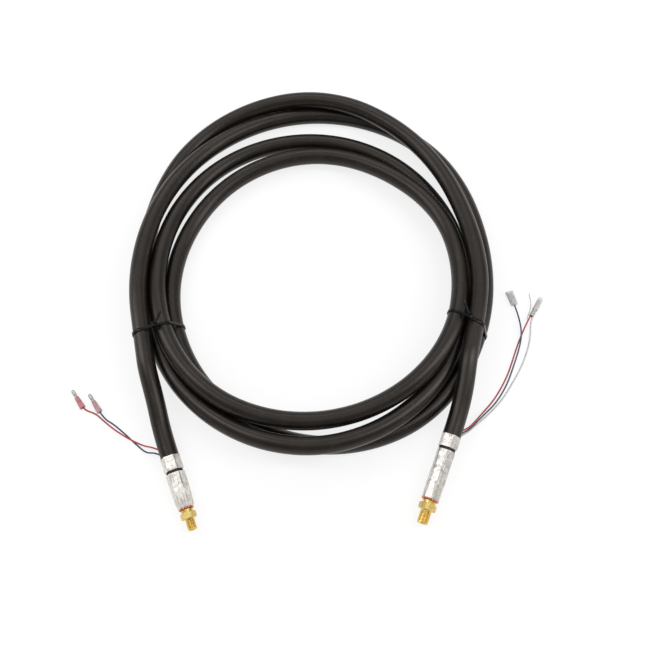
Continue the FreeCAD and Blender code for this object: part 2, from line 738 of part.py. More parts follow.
def cable_tie(name, bearing, skew, head_aside, tail_aim):
    """Nylon tie pulled round the strands at a bearing, skewed from the coil's radius, its cut tail standing up."""
    angle = math.radians(bearing)
    radial = Vector(math.cos(angle), math.sin(angle), 0)
    up = Vector(0, 0, 1)
    across = Rotation(up, skew).multVec(radial)
    onward = up.cross(across)
    middle = coil_centre + radial * (size("coil_radius") + TIE_LANE * cable)
    width, thickness = size("tie_width"), size("tie_thickness")

    def at(aside, height, along=0.0):
        return middle + across * aside + up * height + onward * along

    # Strand centres at both edges of the strap and midway, because the strands cross it at a slant
    strands = []
    for along in (-width / 2, 0.0, width / 2):
        corners = ((-TIE_REACH, -1.0), (TIE_REACH, -1.0), (TIE_REACH, TIE_TOP), (-TIE_REACH, TIE_TOP))
        window = [at(aside * cable, height * cable, along) for aside, height in corners]
        section = Part.Face(Part.Wire(Part.makePolygon(window + window[:1]))).section(coil.wire)
        strands += [((vertex.Point - middle).dot(across), vertex.Point.z) for vertex in section.Vertexes]
    hull = outer_corners(strands)
    ring = Part.Wire(Part.makePolygon([at(*corner) for corner in hull + hull[:1]]))
    inside = cable_radius + size("tie_clearance")
    outside = inside + thickness
    band = Part.makeFace([ring.makeOffset2D(outside), ring.makeOffset2D(inside)], "Part::FaceMakerBullseye")
    band.translate(onward * (-width / 2))
    strap = band.extrude(onward * width)

    (s0, z0), (s1, z1) = max(zip(hull, hull[1:] + hull[:1]), key=lambda side: side[0][0] - side[1][0])
    lean = math.atan2(z1 - z0, s1 - s0) - math.pi
    seat = at(head_aside, z0 + (head_aside - s0) * math.tan(lean) + outside / math.cos(lean))
    along_head = across * math.cos(lean) + up * math.sin(lean)
    normal = up * math.cos(lean) - across * math.sin(lean)
    length, breadth, height = (size(f"tie_head_{name}") for name in ("length", "width", "height"))
    head = Part.makeBox(length, breadth, height, Vector(-length / 2, -breadth / 2, -size("tie_clearance")))
    head = head.makeFillet(size("tie_head_fillet"), head.Edges)
    head.Placement = Placement(seat, Rotation(along_head, onward, normal, "XYZ"))
    tail_width = size("tie_tail_width")
    corner = Vector(-thickness / 2, -tail_width / 2, 0)
    tail = Part.makeBox(thickness, tail_width, size("tie_tail_length"), corner)
    tail.Placement = Placement(seat + normal * (height / 2), Rotation(along_head, onward, Vector(*tail_aim), "ZYX"))
    print(f"{name}: strands {[(round(s), round(z, 1)) for s, z in sorted(strands)]}, "
          f"lowest {strap.BoundBox.ZMin:.2f}, tail tip {tail.BoundBox.ZMax:.1f}")
    return feature(name, strap.fuse([head, tail]))


cable_tie("cable_tie_left", LEFT_TIE, -8.2, 3.0, (0.41, 0.345, 0.845))
cable_tie("cable_tie_right", RIGHT_TIE, 1.2, -4.0, (-0.345, 0.415, 0.845))


class Terminal:
    """Place and aim of a terminal at the end of a wire, lying on the floor."""

    def __init__(self, fitting, place, tip, radius):
        self.start = fitting.floor_point(*place, radius)
        self.aim = Vector(tip[0] - place[0], tip[1] - place[1], 0).normalize()

    def place(self, along=0.0, roll=0.0):
        """Placement at a length along the terminal: local Z runs to its mouth, local X points up."""
        up = Vector(0, 0, 1)
        turn = Rotation(up, self.aim.cross(up), self.aim, "ZXY").multiply(Rotation(Vector(0, 0, 1), roll))
        return Placement(self.start + self.aim * along, turn)

    def beside(self, along, aside=0.0):
        """Point along the terminal's axis and beside it, towards its left seen from above."""
        return self.start + self.aim * along - self.aim.cross(Vector(0, 0, 1)) * aside


# Terminals, each from its rear to its tip, measured along X and Y from the jacket's end
bullet_radius = size("bullet_sleeve_diameter") / 2
red_bullet = Terminal(left, (-101.8, 56.8), (-116.5, 77.8), bullet_radius)
blue_bullet = Terminal(left, (-82.6, 52.0), (-98.5, 75.1), bullet_radius)
blue_spade = Terminal(right, (85.2, 159.3), (79.6, 178.3), size("boot_height") / 2)
pair_socket = Terminal(right, (103.1, 145.3), (115.5, 165.9), size("sleeve_slide_diameter") / 2)

# Control wires: hole, terminal, place aside of the terminal's axis, reach into it and straight stretch before it,
# then the places on the way, measured along X and Y from the jacket's end, with their height in wire diameters
WIRES = {
    "red_left": (left_exits["red"], red_bullet, 0.0, 5.0, 3.0, (
        (-30.5, 13.8, 1.95),
        (-42.0, 18.8, 2.1),
        (-54.0, 25.3, 2.1),
        (-67.3, 34.2, 0.6),
        (-78.5, 43.0, 0.55),
        (-88.0, 51.2, 0.6),
    )),
    "blue_left": (left_exits["blue"], blue_bullet, 0.0, 5.0, 9.0, (
        (-27.5, 6.0, 1.95),
        (-39.5, 15.8, 0.55),
        (-51.5, 26.5, 0.5),
        (-66.5, 38.8, 0.55),
    )),
    "red_right": (right_exits["red"], pair_socket, 1.1, 7.0, 10.0, (
        (27.0, 16.8, 5.4),
        (38.0, 29.3, 1.4),
        (53.0, 45.4, 0.55),
        (68.5, 70.5, 0.55),
        (77.3, 92.0, 0.55),
        (85.0, 112.0, 0.55),
    )),
    "blue_right": (right_exits["blue"], blue_spade, 0.0, 7.4, 10.0, (
        (26.5, 14.3, 4.6),
        (39.0, 26.9, 1.1),
        (55.0, 42.0, 0.55),
        (68.5, 63.0, 0.55),
        (78.0, 85.5, 0.55),
        (86.0, 106.5, 1.5),
        (90.2, 124.5, 2.4),
    )),
    "white_right": (right_exits["white"], pair_socket, -1.1, 7.0, 5.0, (
        (26.5, 12.5, 3.7),
        (41.5, 25.0, 0.8),
        (60.5, 43.5, 0.5),
        (75.0, 65.0, 0.5),
        (89.5, 89.0, 0.5),
        (100.2, 118.0, 0.6),
    )),
}


def wire_route(name):
    """Wire from its hole in the jacket, over its places and straight into its terminal."""
    exit_, terminal, aside, inside, straight, places = WIRES[name]
    corners = [exit_.fitting.floor_point(x, y, height * wire) for x, y, height in places]
    ends = [terminal.beside(-straight, aside), terminal.beside(inside, aside)]
    return rounded_route([exit_.start, exit_.mouth] + corners + ends, f"wire {name}", 3.0, wire)


for name in WIRES:
    feature(f"wire_{name}", wire_route(name).tube(wire / 2))


# Terminals
def bullet(name, terminal):
    """Male bullet terminal and its coloured sleeve."""
    body = doc.addObject("PartDesign::Body", f"bullet_{name}")
    barrel, head = "Sizes.bullet_barrel / 2", "Sizes.bullet_diameter / 2"
    bore = "Sizes.wire_diameter / 2 + 0.1"
    front = "Sizes.bullet_sleeve_length"
    tip = f"{front} + Sizes.bullet_length"
    turned(body, f"bullet_blank_{name}", [
        ("0", "5.2"),
        (bore, "5.2"),
        (bore, "1"),
        (barrel, "1"),
        (barrel, f"{front} + 0.4"),
        (f"{head} - 0.5", f"{front} + 0.9"),
        (f"{head} - 0.5", f"{front} + 2.2"),
        (head, f"{front} + 3"),
        (head, f"{tip} - 2"),
        (f"{head} * 0.65", f"{tip} - 0.4"),
        ("0", tip),
    ])
    node(body, f"bullet_{name}", terminal.place())
    sleeve = doc.addObject("PartDesign::Body", f"bullet_sleeve_{name}")
    outer = "Sizes.bullet_sleeve_diameter / 2"
    turned(sleeve, f"bullet_sleeve_blank_{name}", [
        (f"{barrel} + 0.1", "0"),
        (f"{outer} - 0.4", "0"),
        (outer, "1"),
        (outer, f"{front} - 1"),
        (f"{outer} - 0.4", front),
        (f"{barrel} + 0.1", front),
    ])
    node(sleeve, f"bullet_sleeve_{name}", terminal.place())


def bar(radius, height, along="0", aside="0"):
    """Round bar along Z, placed along and aside of it."""
    item = primitive("Part::Cylinder", Radius=radius, Height=height)
    item.setExpression("Placement.Base.z", along)
    item.setExpression("Placement.Base.x", aside)
    return item


def block(width, thickness, height, along):
    """Flat block centred on Z, its width along X."""
    item = primitive("Part::Box", Length=width, Width=thickness, Height=height)
    item.setExpression("Placement.Base.x", f"-({width}) / 2")
    item.setExpression("Placement.Base.y", f"-({thickness}) / 2")
    item.setExpression("Placement.Base.z", along)
    return item


def spade_receptacle(terminal):
    """Female spade terminal: a crimp barrel and a flat box with rolled edges and a slot for the blade."""
    rear, start = "1.5", "1.5 + Sizes.spade_barrel_length"
    barrel = cut(
        bar("Sizes.spade_barrel / 2", "Sizes.spade_barrel_length + 0.5", rear),
        bar("Sizes.wire_diameter / 2 + 0.1", "Sizes.spade_barrel_length - 1", rear),
    )
    radius = "Sizes.spade_thickness / 2"
    inset = f"(Sizes.spade_width / 2 - {radius})"
    shell = fuse(
        block(f"2 * {inset}", "Sizes.spade_thickness", "Sizes.spade_length", start),
        bar(radius, "Sizes.spade_length", start, inset),
        bar(radius, "Sizes.spade_length", start, f"-{inset}"),
    )
    slot = block("Sizes.spade_width - 1.4", "0.9", "Sizes.spade_length", f"{start} + 1")
    node(fuse(barrel, cut(shell, slot)), "spade_receptacle", terminal.place(0.0, 90.0))


def oval_loft(label, shrink):
    """Tapered oval bar from the boot's tail to its mouth, shrunk on all sides."""
    rings = []
    for width, along in (("Sizes.boot_tail", "0"), ("Sizes.boot_mouth", "Sizes.boot_length")):
        ring = primitive(
            "Part::Ellipse",
            MajorRadius=f"{width} / 2 - {shrink}",
            MinorRadius=f"Sizes.boot_height / 2 - {shrink}",
        )
        ring.setExpression("Placement.Base.z", along)
        rings.append(ring)
    loft = doc.addObject("Part::Loft", label)
    loft.Sections = rings
    loft.Solid = True
    loft.Ruled = True
    return loft


def spade_boot(terminal):
    """Clear oval boot that slides back along the wire."""
    walls = cut(oval_loft("boot_outside", "0"), oval_loft("boot_inside", "Sizes.boot_wall"))
    node(walls, "spade_boot", terminal.place(0.0, 90.0))


def pair_terminal(terminal):
    """Female bullet terminal for two wires, its sliding clear sleeve and an untrimmed strand."""
    start = "Sizes.socket_barrel_length"
    barrel = cut(
        bar("Sizes.socket_barrel / 2", start),
        bar("Sizes.socket_barrel / 2 - 0.6", f"{start} - 2"),
    )
    socket = cut(
        bar("Sizes.socket_diameter / 2", "Sizes.socket_length", f"{start} - 0.5"),
        bar("Sizes.socket_diameter / 2 - 0.3", "Sizes.socket_length", f"{start} + 1"),
    )
    node(fuse(barrel, socket), "bullet_receptacle", terminal.place())
    outer = "Sizes.sleeve_slide_diameter / 2"
    sleeve = cut(
        bar(outer, "Sizes.sleeve_slide_length"),
        bar(f"{outer} - 0.35", "Sizes.sleeve_slide_length"),
    )
    node(sleeve, "bullet_receptacle_sleeve", terminal.place(size("socket_barrel_length") - 0.5))
    free = [right.floor_point(104.5, 164.5, 3.0), right.floor_point(103.4, 174.5, 2.2)]
    points = [terminal.beside(-6.0, 2.5), terminal.beside(0.0, 3.9), terminal.beside(7.0, 4.4)] + free
    strand = rounded_route(points, "untrimmed strand", 3.0, size("strand_diameter"))
    feature("untrimmed_strand", strand.tube(size("strand_diameter") / 2))


bullet("red", red_bullet)
bullet("blue", blue_bullet)
spade_receptacle(blue_spade)
spade_boot(blue_spade)
pair_terminal(pair_socket)

doc.recompute()
for item in doc.Objects:
    if "Invalid" in item.State or "Error" in item.State:
        raise RuntimeError(f"{item.Label} is not made: {item.State}")
for item in NODES:
    shape = item.Shape
    if shape.isNull() or not shape.isValid():
        raise RuntimeError(f"{item.Label} has no sound shape")

os.makedirs("parts", exist_ok=True)
for item in NODES:
    item.Shape.exportStep(f"parts/{item.Label}.step")
    box = item.Shape.optimalBoundingBox(True, False)
    print(f"{item.Label}: {len(item.Shape.Solids)} solid, volume {item.Shape.Volume:.1f}, "
          f"x {box.XMin:.1f} {box.XMax:.1f} y {box.YMin:.1f} {box.YMax:.1f} z {box.ZMin:.2f} {box.ZMax:.2f}")
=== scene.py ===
"""Looks of the coiled coaxial cable of a wire feed welding torch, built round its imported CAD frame.

The cable, its control wires and their routes repeat the CAD routes. Pieces are modelled in millimetres
along their own axis and moved to their place in metres. Each class builds one sub-assembly and dresses it.
"""

import logging
import math
import random
from dataclasses import dataclass, field
from enum import Enum
from typing import Callable, Iterable, Sequence

import bmesh
import bpy
from bmesh.types import BMesh, BMVert
from bpy.types import Material, Node, NodeSocket, Object, ShaderNodeTree
from mathutils import Matrix, Vector, noise


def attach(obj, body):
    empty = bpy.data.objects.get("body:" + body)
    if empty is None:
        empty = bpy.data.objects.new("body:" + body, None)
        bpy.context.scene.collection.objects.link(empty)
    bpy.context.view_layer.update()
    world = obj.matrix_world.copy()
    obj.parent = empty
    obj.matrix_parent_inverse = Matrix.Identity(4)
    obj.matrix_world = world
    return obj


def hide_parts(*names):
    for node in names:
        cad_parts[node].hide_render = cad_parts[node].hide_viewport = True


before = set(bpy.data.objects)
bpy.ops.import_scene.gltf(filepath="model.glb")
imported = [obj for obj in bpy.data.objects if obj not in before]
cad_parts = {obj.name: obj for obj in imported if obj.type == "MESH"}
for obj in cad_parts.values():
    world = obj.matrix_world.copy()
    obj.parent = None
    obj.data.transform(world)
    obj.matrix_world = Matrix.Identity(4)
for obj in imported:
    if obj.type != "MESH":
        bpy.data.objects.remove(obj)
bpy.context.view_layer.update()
LOG = logging.getLogger("cable_assembly")
MM = 0.001
ON_AXIS = 1e-6
MERGE_DISTANCE = 1e-4
FULL_TURN = 2 * math.pi
SIXTH = math.pi / 3
MILLED = "milled"
WHITE = (1.0, 1.0, 1.0)
UP = Vector((0.0, 0.0, 1.0))
Spot = tuple[float, float, float]
Colour = tuple[float, float, float]
Outline = Sequence[tuple[float, float]]
Skin = Callable[[float, float], float]


class Body(Enum):
    """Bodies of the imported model."""

    CABLE = "cable"
    BOOT = "boot"
    SOCKET_SLEEVE = "socket_sleeve"


class Follows(Enum):
    """What a finish's pattern follows."""

    PLACE = "Object"
    SURFACE = "UV"


class Socket(Enum):
    """Kinds of socket on a node group."""

    NUMBER = "NodeSocketFloat"
    VECTOR = "NodeSocketVector"
    COLOUR = "NodeSocketColor"


# Meshes
def spun(outline: Outline, steps: int, rounding: float = 0.0, spacing: float = 0.0) -> BMesh:
    """Turn a closed outline of (radius, height) about Z.

    Args:
        outline: Corners in millimetres. A first and last corner on the axis close the shape there.
        steps: Steps round.
        rounding: Radius of the outline's corners.
        spacing: Longest run of the outline that stays undivided, or 0.

    Returns:
        Closed shape with its faces pointing outwards.
    """
    shape = bmesh.new()
    corners = [shape.verts.new((radius, 0.0, height)) for radius, height in outline]
    shape.faces.new(corners)
    if rounding:
        turned = [corner for corner in corners if corner.co.x > ON_AXIS]
        bmesh.ops.bevel(shape, geom=turned, offset=rounding, segments=3, profile=0.5, affect="VERTICES",
                        material=-1, clamp_overlap=True)
    bmesh.ops.delete(shape, geom=shape.faces[:], context="FACES_ONLY")
    on_axis = [edge for edge in shape.edges if all(vert.co.x < ON_AXIS for vert in edge.verts)]
    bmesh.ops.delete(shape, geom=on_axis, context="EDGES")
    if spacing:
        for edge in shape.edges[:]:
            cuts = int(edge.calc_length() / spacing)
            if cuts:
                bmesh.ops.subdivide_edges(shape, edges=[edge], cuts=cuts)
    bmesh.ops.spin(shape, geom=shape.verts[:] + shape.edges[:], cent=(0, 0, 0), axis=(0, 0, 1),
                   angle=FULL_TURN, steps=steps, use_merge=True)
    bmesh.ops.remove_doubles(shape, verts=shape.verts[:], dist=MERGE_DISTANCE)
    bmesh.ops.recalc_face_normals(shape, faces=shape.faces[:])
    return shape


def pipe(radii: tuple[float, float], ends: tuple[float, float], steps: int, rounding: float,
         spacing: float = 0.0) -> BMesh:
    """Turn a plain pipe about Z.

    Args:
        radii: Inner and outer radius in millimetres.
        ends: Heights of its two ends.
        steps: Steps round.
        rounding: Radius of its edges.
        spacing: Longest run along it that stays undivided, or 0.

    Returns:
        Closed shape.
    """
    (inner, outer), (start, end) = radii, ends
    return spun([(inner, start), (outer, start), (outer, end), (inner, end)], steps, rounding, spacing)


def polar(vert: BMVert) -> tuple[float, float]:
    """Radius and bearing of a vertex about Z."""
    return math.hypot(vert.co.x, vert.co.y), math.atan2(vert.co.y, vert.co.x)


def rescale(vert: BMVert, factor: float) -> None:
    """Move a vertex away from Z, to a factor of its radius."""
    vert.co.x *= factor
    vert.co.y *= factor


def reshape_skin(shape: BMesh, nominal: float, inside: float, target: Skin) -> None:
    """Move the outer skin of a turned shape to another outline, and leave its bore.

    Args:
        shape: Turned shape, changed in place.
        nominal: Radius that its outer skin was turned with.
        inside: Radius up to which nothing moves.
        target: Radius wanted at a bearing in radians and a height in millimetres.
    """
    for vert in shape.verts:
        radius, bearing = polar(vert)
        if radius > inside:
            rescale(vert, (target(bearing, vert.co.z) + radius - nominal) / radius)


def hexagon(bearing: float, flat: float, corner: float, softness: float) -> float:
    """Find how far a hexagon's side is from its middle, its corners turned down.

    Args:
        bearing: Angle from a corner, in radians.
        flat: Half of the width across flats.
        corner: Radius that the corners are turned down to.
        softness: How sharply the flat meets the turned corner.

    Returns:
        Distance in the units of the flat.
    """
    side = flat / math.cos(bearing % SIXTH - SIXTH / 2)
    return -math.log(math.exp(-softness * side) + math.exp(-softness * corner)) / softness


def bell(value: float, middle: float, width: float) -> float:
    """Height of a smooth bump at a value, 1 at its middle."""
    return math.exp(-((value - middle) / width) ** 2)


def run_of(stops: Outline, share: float) -> float:
    """Read a run of stops at a share of its length.

    Args:
        stops: Pairs of a share and a value.
        share: Place to read at.

    Returns:
        Value there, on the straight line between its neighbours.
    """
    for (before, low), (after, high) in zip(stops, stops[1:]):
        if share <= after:
            return low + (high - low) * max(0.0, share - before) / (after - before)
    return stops[-1][1]


def fresh_verts(result: dict[str, list], key: str) -> list[BMVert]:
    """Vertices in an operator's result."""
    return [item for item in result[key] if isinstance(item, BMVert)]


def swung(shape: BMesh, vert: BMVert, middle: Spot, angle: float, steps: int) -> BMVert:
    """Swing a vertex about an upright line into an arc.

    Args:
        shape: Shape that holds it.
        vert: Vertex where the arc starts.
        middle: Middle of the arc.
        angle: Turn in radians.
        steps: Edges of the arc.

    Returns:
        Vertex where the arc ends.
    """
    swept = bmesh.ops.spin(shape, geom=[vert], cent=middle, axis=(0, 0, 1), angle=angle, steps=steps)
    return fresh_verts(swept, "geom_last")[0]


def joined(*shapes: BMesh) -> BMesh:
    """Put several shapes into the first one and free the others.

    Args:
        shapes: Shapes in the same place and unit.

    Returns:
        The first shape, with all faces.
    """
    first = shapes[0]
    for shape in shapes[1:]:
        carrier = bpy.data.meshes.new("carrier")
        shape.to_mesh(carrier)
        shape.free()
        first.from_mesh(carrier)
        bpy.data.meshes.remove(carrier)
    return first


def linked(name: str, data: bpy.types.ID) -> Object:
    """Make an object of its data and put it in the scene.

    Args:
        name: Name of the object.
        data: Mesh, curve, lamp or camera.

    Returns:
        Object at the origin.
    """
    thing = bpy.data.objects.new(name, data)
    bpy.context.scene.collection.objects.link(thing)
    return thing


def finished(name: str, shape: BMesh, place: Matrix | None = None, sharp: float = 32.0) -> Object:
    """Make an object from a shape, with its place in its mesh.

    Args:
        name: Name of the piece.
        shape: Shape, freed here.
        place: Matrix from the shape's own frame to the part's, or None where the shape is in place.
        sharp: Angle in degrees from which an edge is shaded sharp.

    Returns:
        Object at the origin, unturned and unscaled.
    """
    if place is not None:
        shape.transform(place)
    mesh = bpy.data.meshes.new(name)
    shape.to_mesh(mesh)
    shape.free()
    mesh.shade_smooth()
    mesh.set_sharp_from_angle(angle=math.radians(sharp))
    return linked(name, mesh)


def placed(piece: Object, slot: str, material: Material, *nodes: str, body: Body = Body.CABLE) -> Object:
    """Dress a piece, let it ride on its body and take the place of its CAD nodes.

    Args:
        piece: Finished piece.
        slot: Material slot of the record, not used.
        material: Its material.
        nodes: CAD nodes that it stands for.
        body: Body that it rides on.

    Returns:
        The same piece.
    """
    piece.data.materials.append(material)
    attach(piece, body.value)
    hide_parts(*nodes)
    LOG.info("%s rides on %s and stands for %s", piece.name, body.value, ", ".join(nodes))
    return piece


@dataclass(frozen=True)
class Axis:
    """Middle line of a fitting or a terminal: its base in metres and the way that it points."""

    base: Vector
    aim: Vector

    def frame(self, along: float = 0.0, roll: float = 0.0) -> Matrix:
        """Find the place of a shape built in millimetres along +Z.

        Args:
            along: Distance from the base in millimetres.
            roll: Turn about the axis in degrees.

        Returns:
            Matrix whose local Z is the aim and whose local X points up.
        """
        side = self.aim.cross(UP).normalized()
        turn = Matrix((side.cross(self.aim), side, self.aim)).transposed().to_4x4()
        spot = Matrix.Translation(self.base + self.aim * (along * MM))
        return spot @ turn @ Matrix.Rotation(math.radians(roll), 4, "Z") @ Matrix.Scale(MM, 4)

    def beside(self, along: float, aside: float = 0.0) -> Vector:
        """Point at a distance along the axis and towards its left seen from above, in metres."""
        return self.base + self.aim * along - self.aim.cross(UP) * aside


# Cords
def cord_line(name: str, places: Sequence[Vector], resolution: int) -> Object:
    """Make the smooth line of a cord, with its route's points as control points.

    Args:
        name: Name of the curve.
        places: Control points in metres.
        resolution: Steps from one control point to the next.

    Returns:
        Curve object of one open spline, without thickness.
    """
    curve = bpy.data.curves.new(name, "CURVE")
    curve.dimensions = "3D"
    curve.resolution_u = resolution
    spline = curve.splines.new("NURBS")
    spline.points.add(len(places) - 1)
    for control, place in zip(spline.points, places):
        control.co = (*place, 1.0)
    spline.order_u = 3
    spline.use_endpoint_u = True
    return linked(name, curve)


def line_points(line: Object) -> list[Vector]:
    """Read the points that a cord's spline runs through, while it has no thickness.

    Args:
        line: Curve object.

    Returns:
        Points in order, in metres.
    """
    bpy.context.view_layer.update()
    mesh = bpy.data.meshes.new_from_object(line)
    points = [vert.co.copy() for vert in mesh.vertices]
    bpy.data.meshes.remove(mesh)
    return points


def line_length(points: Sequence[Vector]) -> float:
    """Add up the runs between points."""
    return sum((after - before).length for before, after in zip(points, points[1:]))


def give_thickness(line: Object, diameter: float, sides: int) -> None:
    """Turn a line into a round cord with closed ends.

    Args:
        line: Curve object.
        diameter: Thickness in metres.
        sides: Sides round.
    """
    line.data.bevel_depth = diameter / 2
    line.data.bevel_resolution = (sides - 4) // 2
    line.data.use_fill_caps = True


# Shader nodes
class Recipe:
    """Node tree that is filled step by step, of a material, a node group or the surroundings."""

    def __init__(self, tree: ShaderNodeTree) -> None:
        """Take the tree to fill."""
        self.tree = tree

    def feed(self, socket: NodeSocket, value: object) -> None:
        """Link a socket to another one, or set its value.

        Args:
            socket: Input to feed.
            value: Output socket, number, vector or colour.
        """
        if isinstance(value, NodeSocket):
            self.tree.links.new(value, socket)
        else:
            socket.default_value = (*value, 1.0) if socket.type == "RGBA" else value

    def add(self, kind: str, inputs: dict[int | str, object] | None = None, **settings: object) -> Node:
        """Add a node.

        Args:
            kind: Type name after "ShaderNode", or a whole name that starts with "Node".
            inputs: What feeds its inputs, by their name or number.
            settings: Properties of the node.

        Returns:
            The node.
        """
        node = self.tree.nodes.new(kind if kind.startswith("Node") else "ShaderNode" + kind)
        for name, value in settings.items():
            setattr(node, name, value)
        for key, value in (inputs or {}).items():
            self.feed(node.inputs[key], value)
        return node

    def math(self, operation: str, first: object, second: object) -> NodeSocket:
        """Work out a Math operation of two values."""
        return self.add("Math", {0: first, 1: second}, operation=operation).outputs[0]

    def scaled(self, value: object, factor: object) -> NodeSocket:
        """Multiply two values."""
        return self.math("MULTIPLY", value, factor)

    def total(self, base: object, *terms: tuple[NodeSocket, float], clamp: bool = False) -> NodeSocket:
        """Add weighted values to a base.

        Args:
            base: Number or socket.
            terms: Sockets with their weights.
            clamp: Whether the result is kept from 0 to 1.

        Returns:
            Result socket.
        """
        for value, weight in terms:
            step = self.add("Math", {0: value, 1: weight, 2: base}, operation="MULTIPLY_ADD", use_clamp=clamp)
            base = step.outputs[0]
        return base

    def largest(self, *values: NodeSocket) -> NodeSocket:
        """Find the largest of several values.

        Args:
            values: Two sockets or more.

        Returns:
            Result socket.
        """
        result = values[0]
        for value in values[1:]:
            result = self.math("MAXIMUM", result, value)
        return result

    def mix(self, factor: object, first: object, second: object) -> NodeSocket:
        """Mix two colours, the factor being the share of the second one."""
        return self.add("Mix", {"Factor": factor, 6: first, 7: second}, data_type="RGBA").outputs[2]

    def spread(self, value: object, low: float, high: float, to_low: float = 0.0,
               to_high: float = 1.0) -> NodeSocket:
        """Stretch a value from one range to another, smoothly and clamped.

        Args:
            value: Value socket.
            low: Lower end of its range.
            high: Upper end of its range.
            to_low: Result at the lower end.
            to_high: Result at the upper end.

        Returns:
            Result socket.
        """
        inputs = dict(enumerate((value, low, high, to_low, to_high)))
        return self.add("MapRange", inputs, interpolation_type="SMOOTHSTEP").outputs[0]

    def noise(self, vector: object, scale: object, detail: float, roughness: float = 0.5) -> NodeSocket:
        """Add a noise pattern.

        Args:
            vector: Coordinates.
            scale: Scale of the pattern.
            detail: Finer layers in it.
            roughness: Strength of the finer layers.

        Returns:
            Value socket.
        """
        inputs = {"Vector": vector, "Scale": scale, "Detail": detail, "Roughness": roughness}
        return self.add("TexNoise", inputs).outputs[0]


class Effect:
    """Effect that several materials use, a node group built once."""

    built: dict[str, ShaderNodeTree] = {}

    @classmethod
    def start(cls, name: str, inputs: dict[str, Socket],
              outputs: dict[str, Socket]) -> tuple[Recipe | NodeSocket, ...]:
        """Start a group with its sockets.

        Args:
            name: Name of the group.
            inputs: Kind of each input by its name.
            outputs: Kind of each output by its name.

        Returns:
            Recipe of the group's tree, and the sockets that bring in each input.
        """
        tree = bpy.data.node_groups.new(name, "ShaderNodeTree")
        for direction, sockets in (("INPUT", inputs), ("OUTPUT", outputs)):
            for label, kind in sockets.items():
                tree.interface.new_socket(name=label, in_out=direction, socket_type=kind.value)
        cls.built[name] = tree
        recipe = Recipe(tree)
        given = recipe.add("NodeGroupInput").outputs
        return recipe, *(given[label] for label in inputs)

    @classmethod
    def mottle(cls) -> None:
        """Build the cloudy change between two colours, with a mask of it."""
        inputs = {"Vector": Socket.VECTOR, "Scale": Socket.NUMBER, "Light": Socket.COLOUR,
                  "Dark": Socket.COLOUR}
        outputs = {"Color": Socket.COLOUR, "Mask": Socket.NUMBER}
        recipe, vector, scale, light, dark = cls.start("mottle", inputs, outputs)
        broad = recipe.noise(vector, scale, 4.0, 0.55)
        fine = recipe.noise(vector, recipe.scaled(scale, 4.3), 2.0, 0.6)
        mask = recipe.spread(recipe.total(recipe.scaled(broad, 0.7), (fine, 0.3)), 0.38, 0.62)
        recipe.add("NodeGroupOutput", {"Color": recipe.mix(mask, dark, light), "Mask": mask})

    @classmethod
    def specks(cls) -> None:
        """Build the mask of small separate specks, as of dirt or pits."""
        inputs = {"Vector": Socket.VECTOR, "Scale": Socket.NUMBER, "Amount": Socket.NUMBER}
        recipe, vector, scale, amount = cls.start("specks", inputs, {"Mask": Socket.NUMBER})
        cells = recipe.add("TexVoronoi", {"Vector": vector, "Scale": scale}, feature="F1")
        near = recipe.spread(cells.outputs["Distance"], 0.12, 0.3, 1.0, 0.0)
        patches = recipe.noise(vector, recipe.scaled(scale, 0.31), 2.0)
        chosen = recipe.math("GREATER_THAN", recipe.total(patches, (amount, 0.4)), 0.66)
        recipe.add("NodeGroupOutput", {"Mask": recipe.scaled(near, chosen)})

    @classmethod
    def drawn_lines(cls) -> None:
        """Build the fine lines that drawing or extruding leaves, stretched along one axis."""
        inputs = {"Vector": Socket.VECTOR, "Stretch": Socket.VECTOR, "Scale": Socket.NUMBER}
        recipe, vector, stretch, scale = cls.start("drawn_lines", inputs, {"Height": Socket.NUMBER})
        laid = recipe.add("VectorMath", {0: vector, 1: stretch}, operation="MULTIPLY").outputs[0]
        recipe.add("NodeGroupOutput", {"Height": recipe.noise(laid, scale, 4.0, 0.65)})

    @classmethod
    def build(cls) -> None:
        """Build every group."""
        for effect in (cls.mottle, cls.specks, cls.drawn_lines):
            effect()


class Surface(Recipe):
    """Material of one Principled shader, with the effects that it uses."""

    def __init__(self, name: str, follows: Follows = Follows.PLACE) -> None:
        """Start an empty material.

        Args:
            name: Name of the material.
            follows: What its pattern follows.
        """
        self.material = bpy.data.materials.new(name)
        self.material.use_nodes = True
        super().__init__(self.material.node_tree)
        self.shader = self.tree.nodes["Principled BSDF"]
        self.vector = self.add("TexCoord").outputs[follows.value]

    def effect(self, name: str, **values: object) -> Sequence[NodeSocket]:
        """Place a group with its own values.

        Args:
            name: Name of the group.
            values: What feeds its inputs, by their name.

        Returns:
            Outputs of the group.
        """
        return self.add("Group", {"Vector": self.vector, **values}, node_tree=Effect.built[name]).outputs

    def mottle(self, scale: float, light: Colour, dark: Colour, **values: object) -> Sequence[NodeSocket]:
        """Place the cloudy change of colour, whose outputs are the colour and its mask."""
        return self.effect("mottle", Scale=scale, Light=light, Dark=dark, **values)

    def shaded(self, **values: object) -> Material:
        """Feed the shader and give the finished material.

        Args:
            values: What feeds the shader's inputs, by their name with underscores for spaces.

        Returns:
            The material.
        """
        for label, value in values.items():
            self.feed(self.shader.inputs[label.replace("_", " ")], value)
        return self.material

    def bump(self, height: object, depth: float, **normal: NodeSocket) -> NodeSocket:
        """Add a bump.

        Args:
            height: Height socket, about 0 to 1.
            depth: Depth of that height in millimetres.
            normal: The Normal that it adds to, where there is one.

        Returns:
            Normal socket.
        """
        inputs = {"Strength": 1.0, "Distance": depth * MM, "Height": height, **normal}
        return self.add("Bump", inputs).outputs[0]


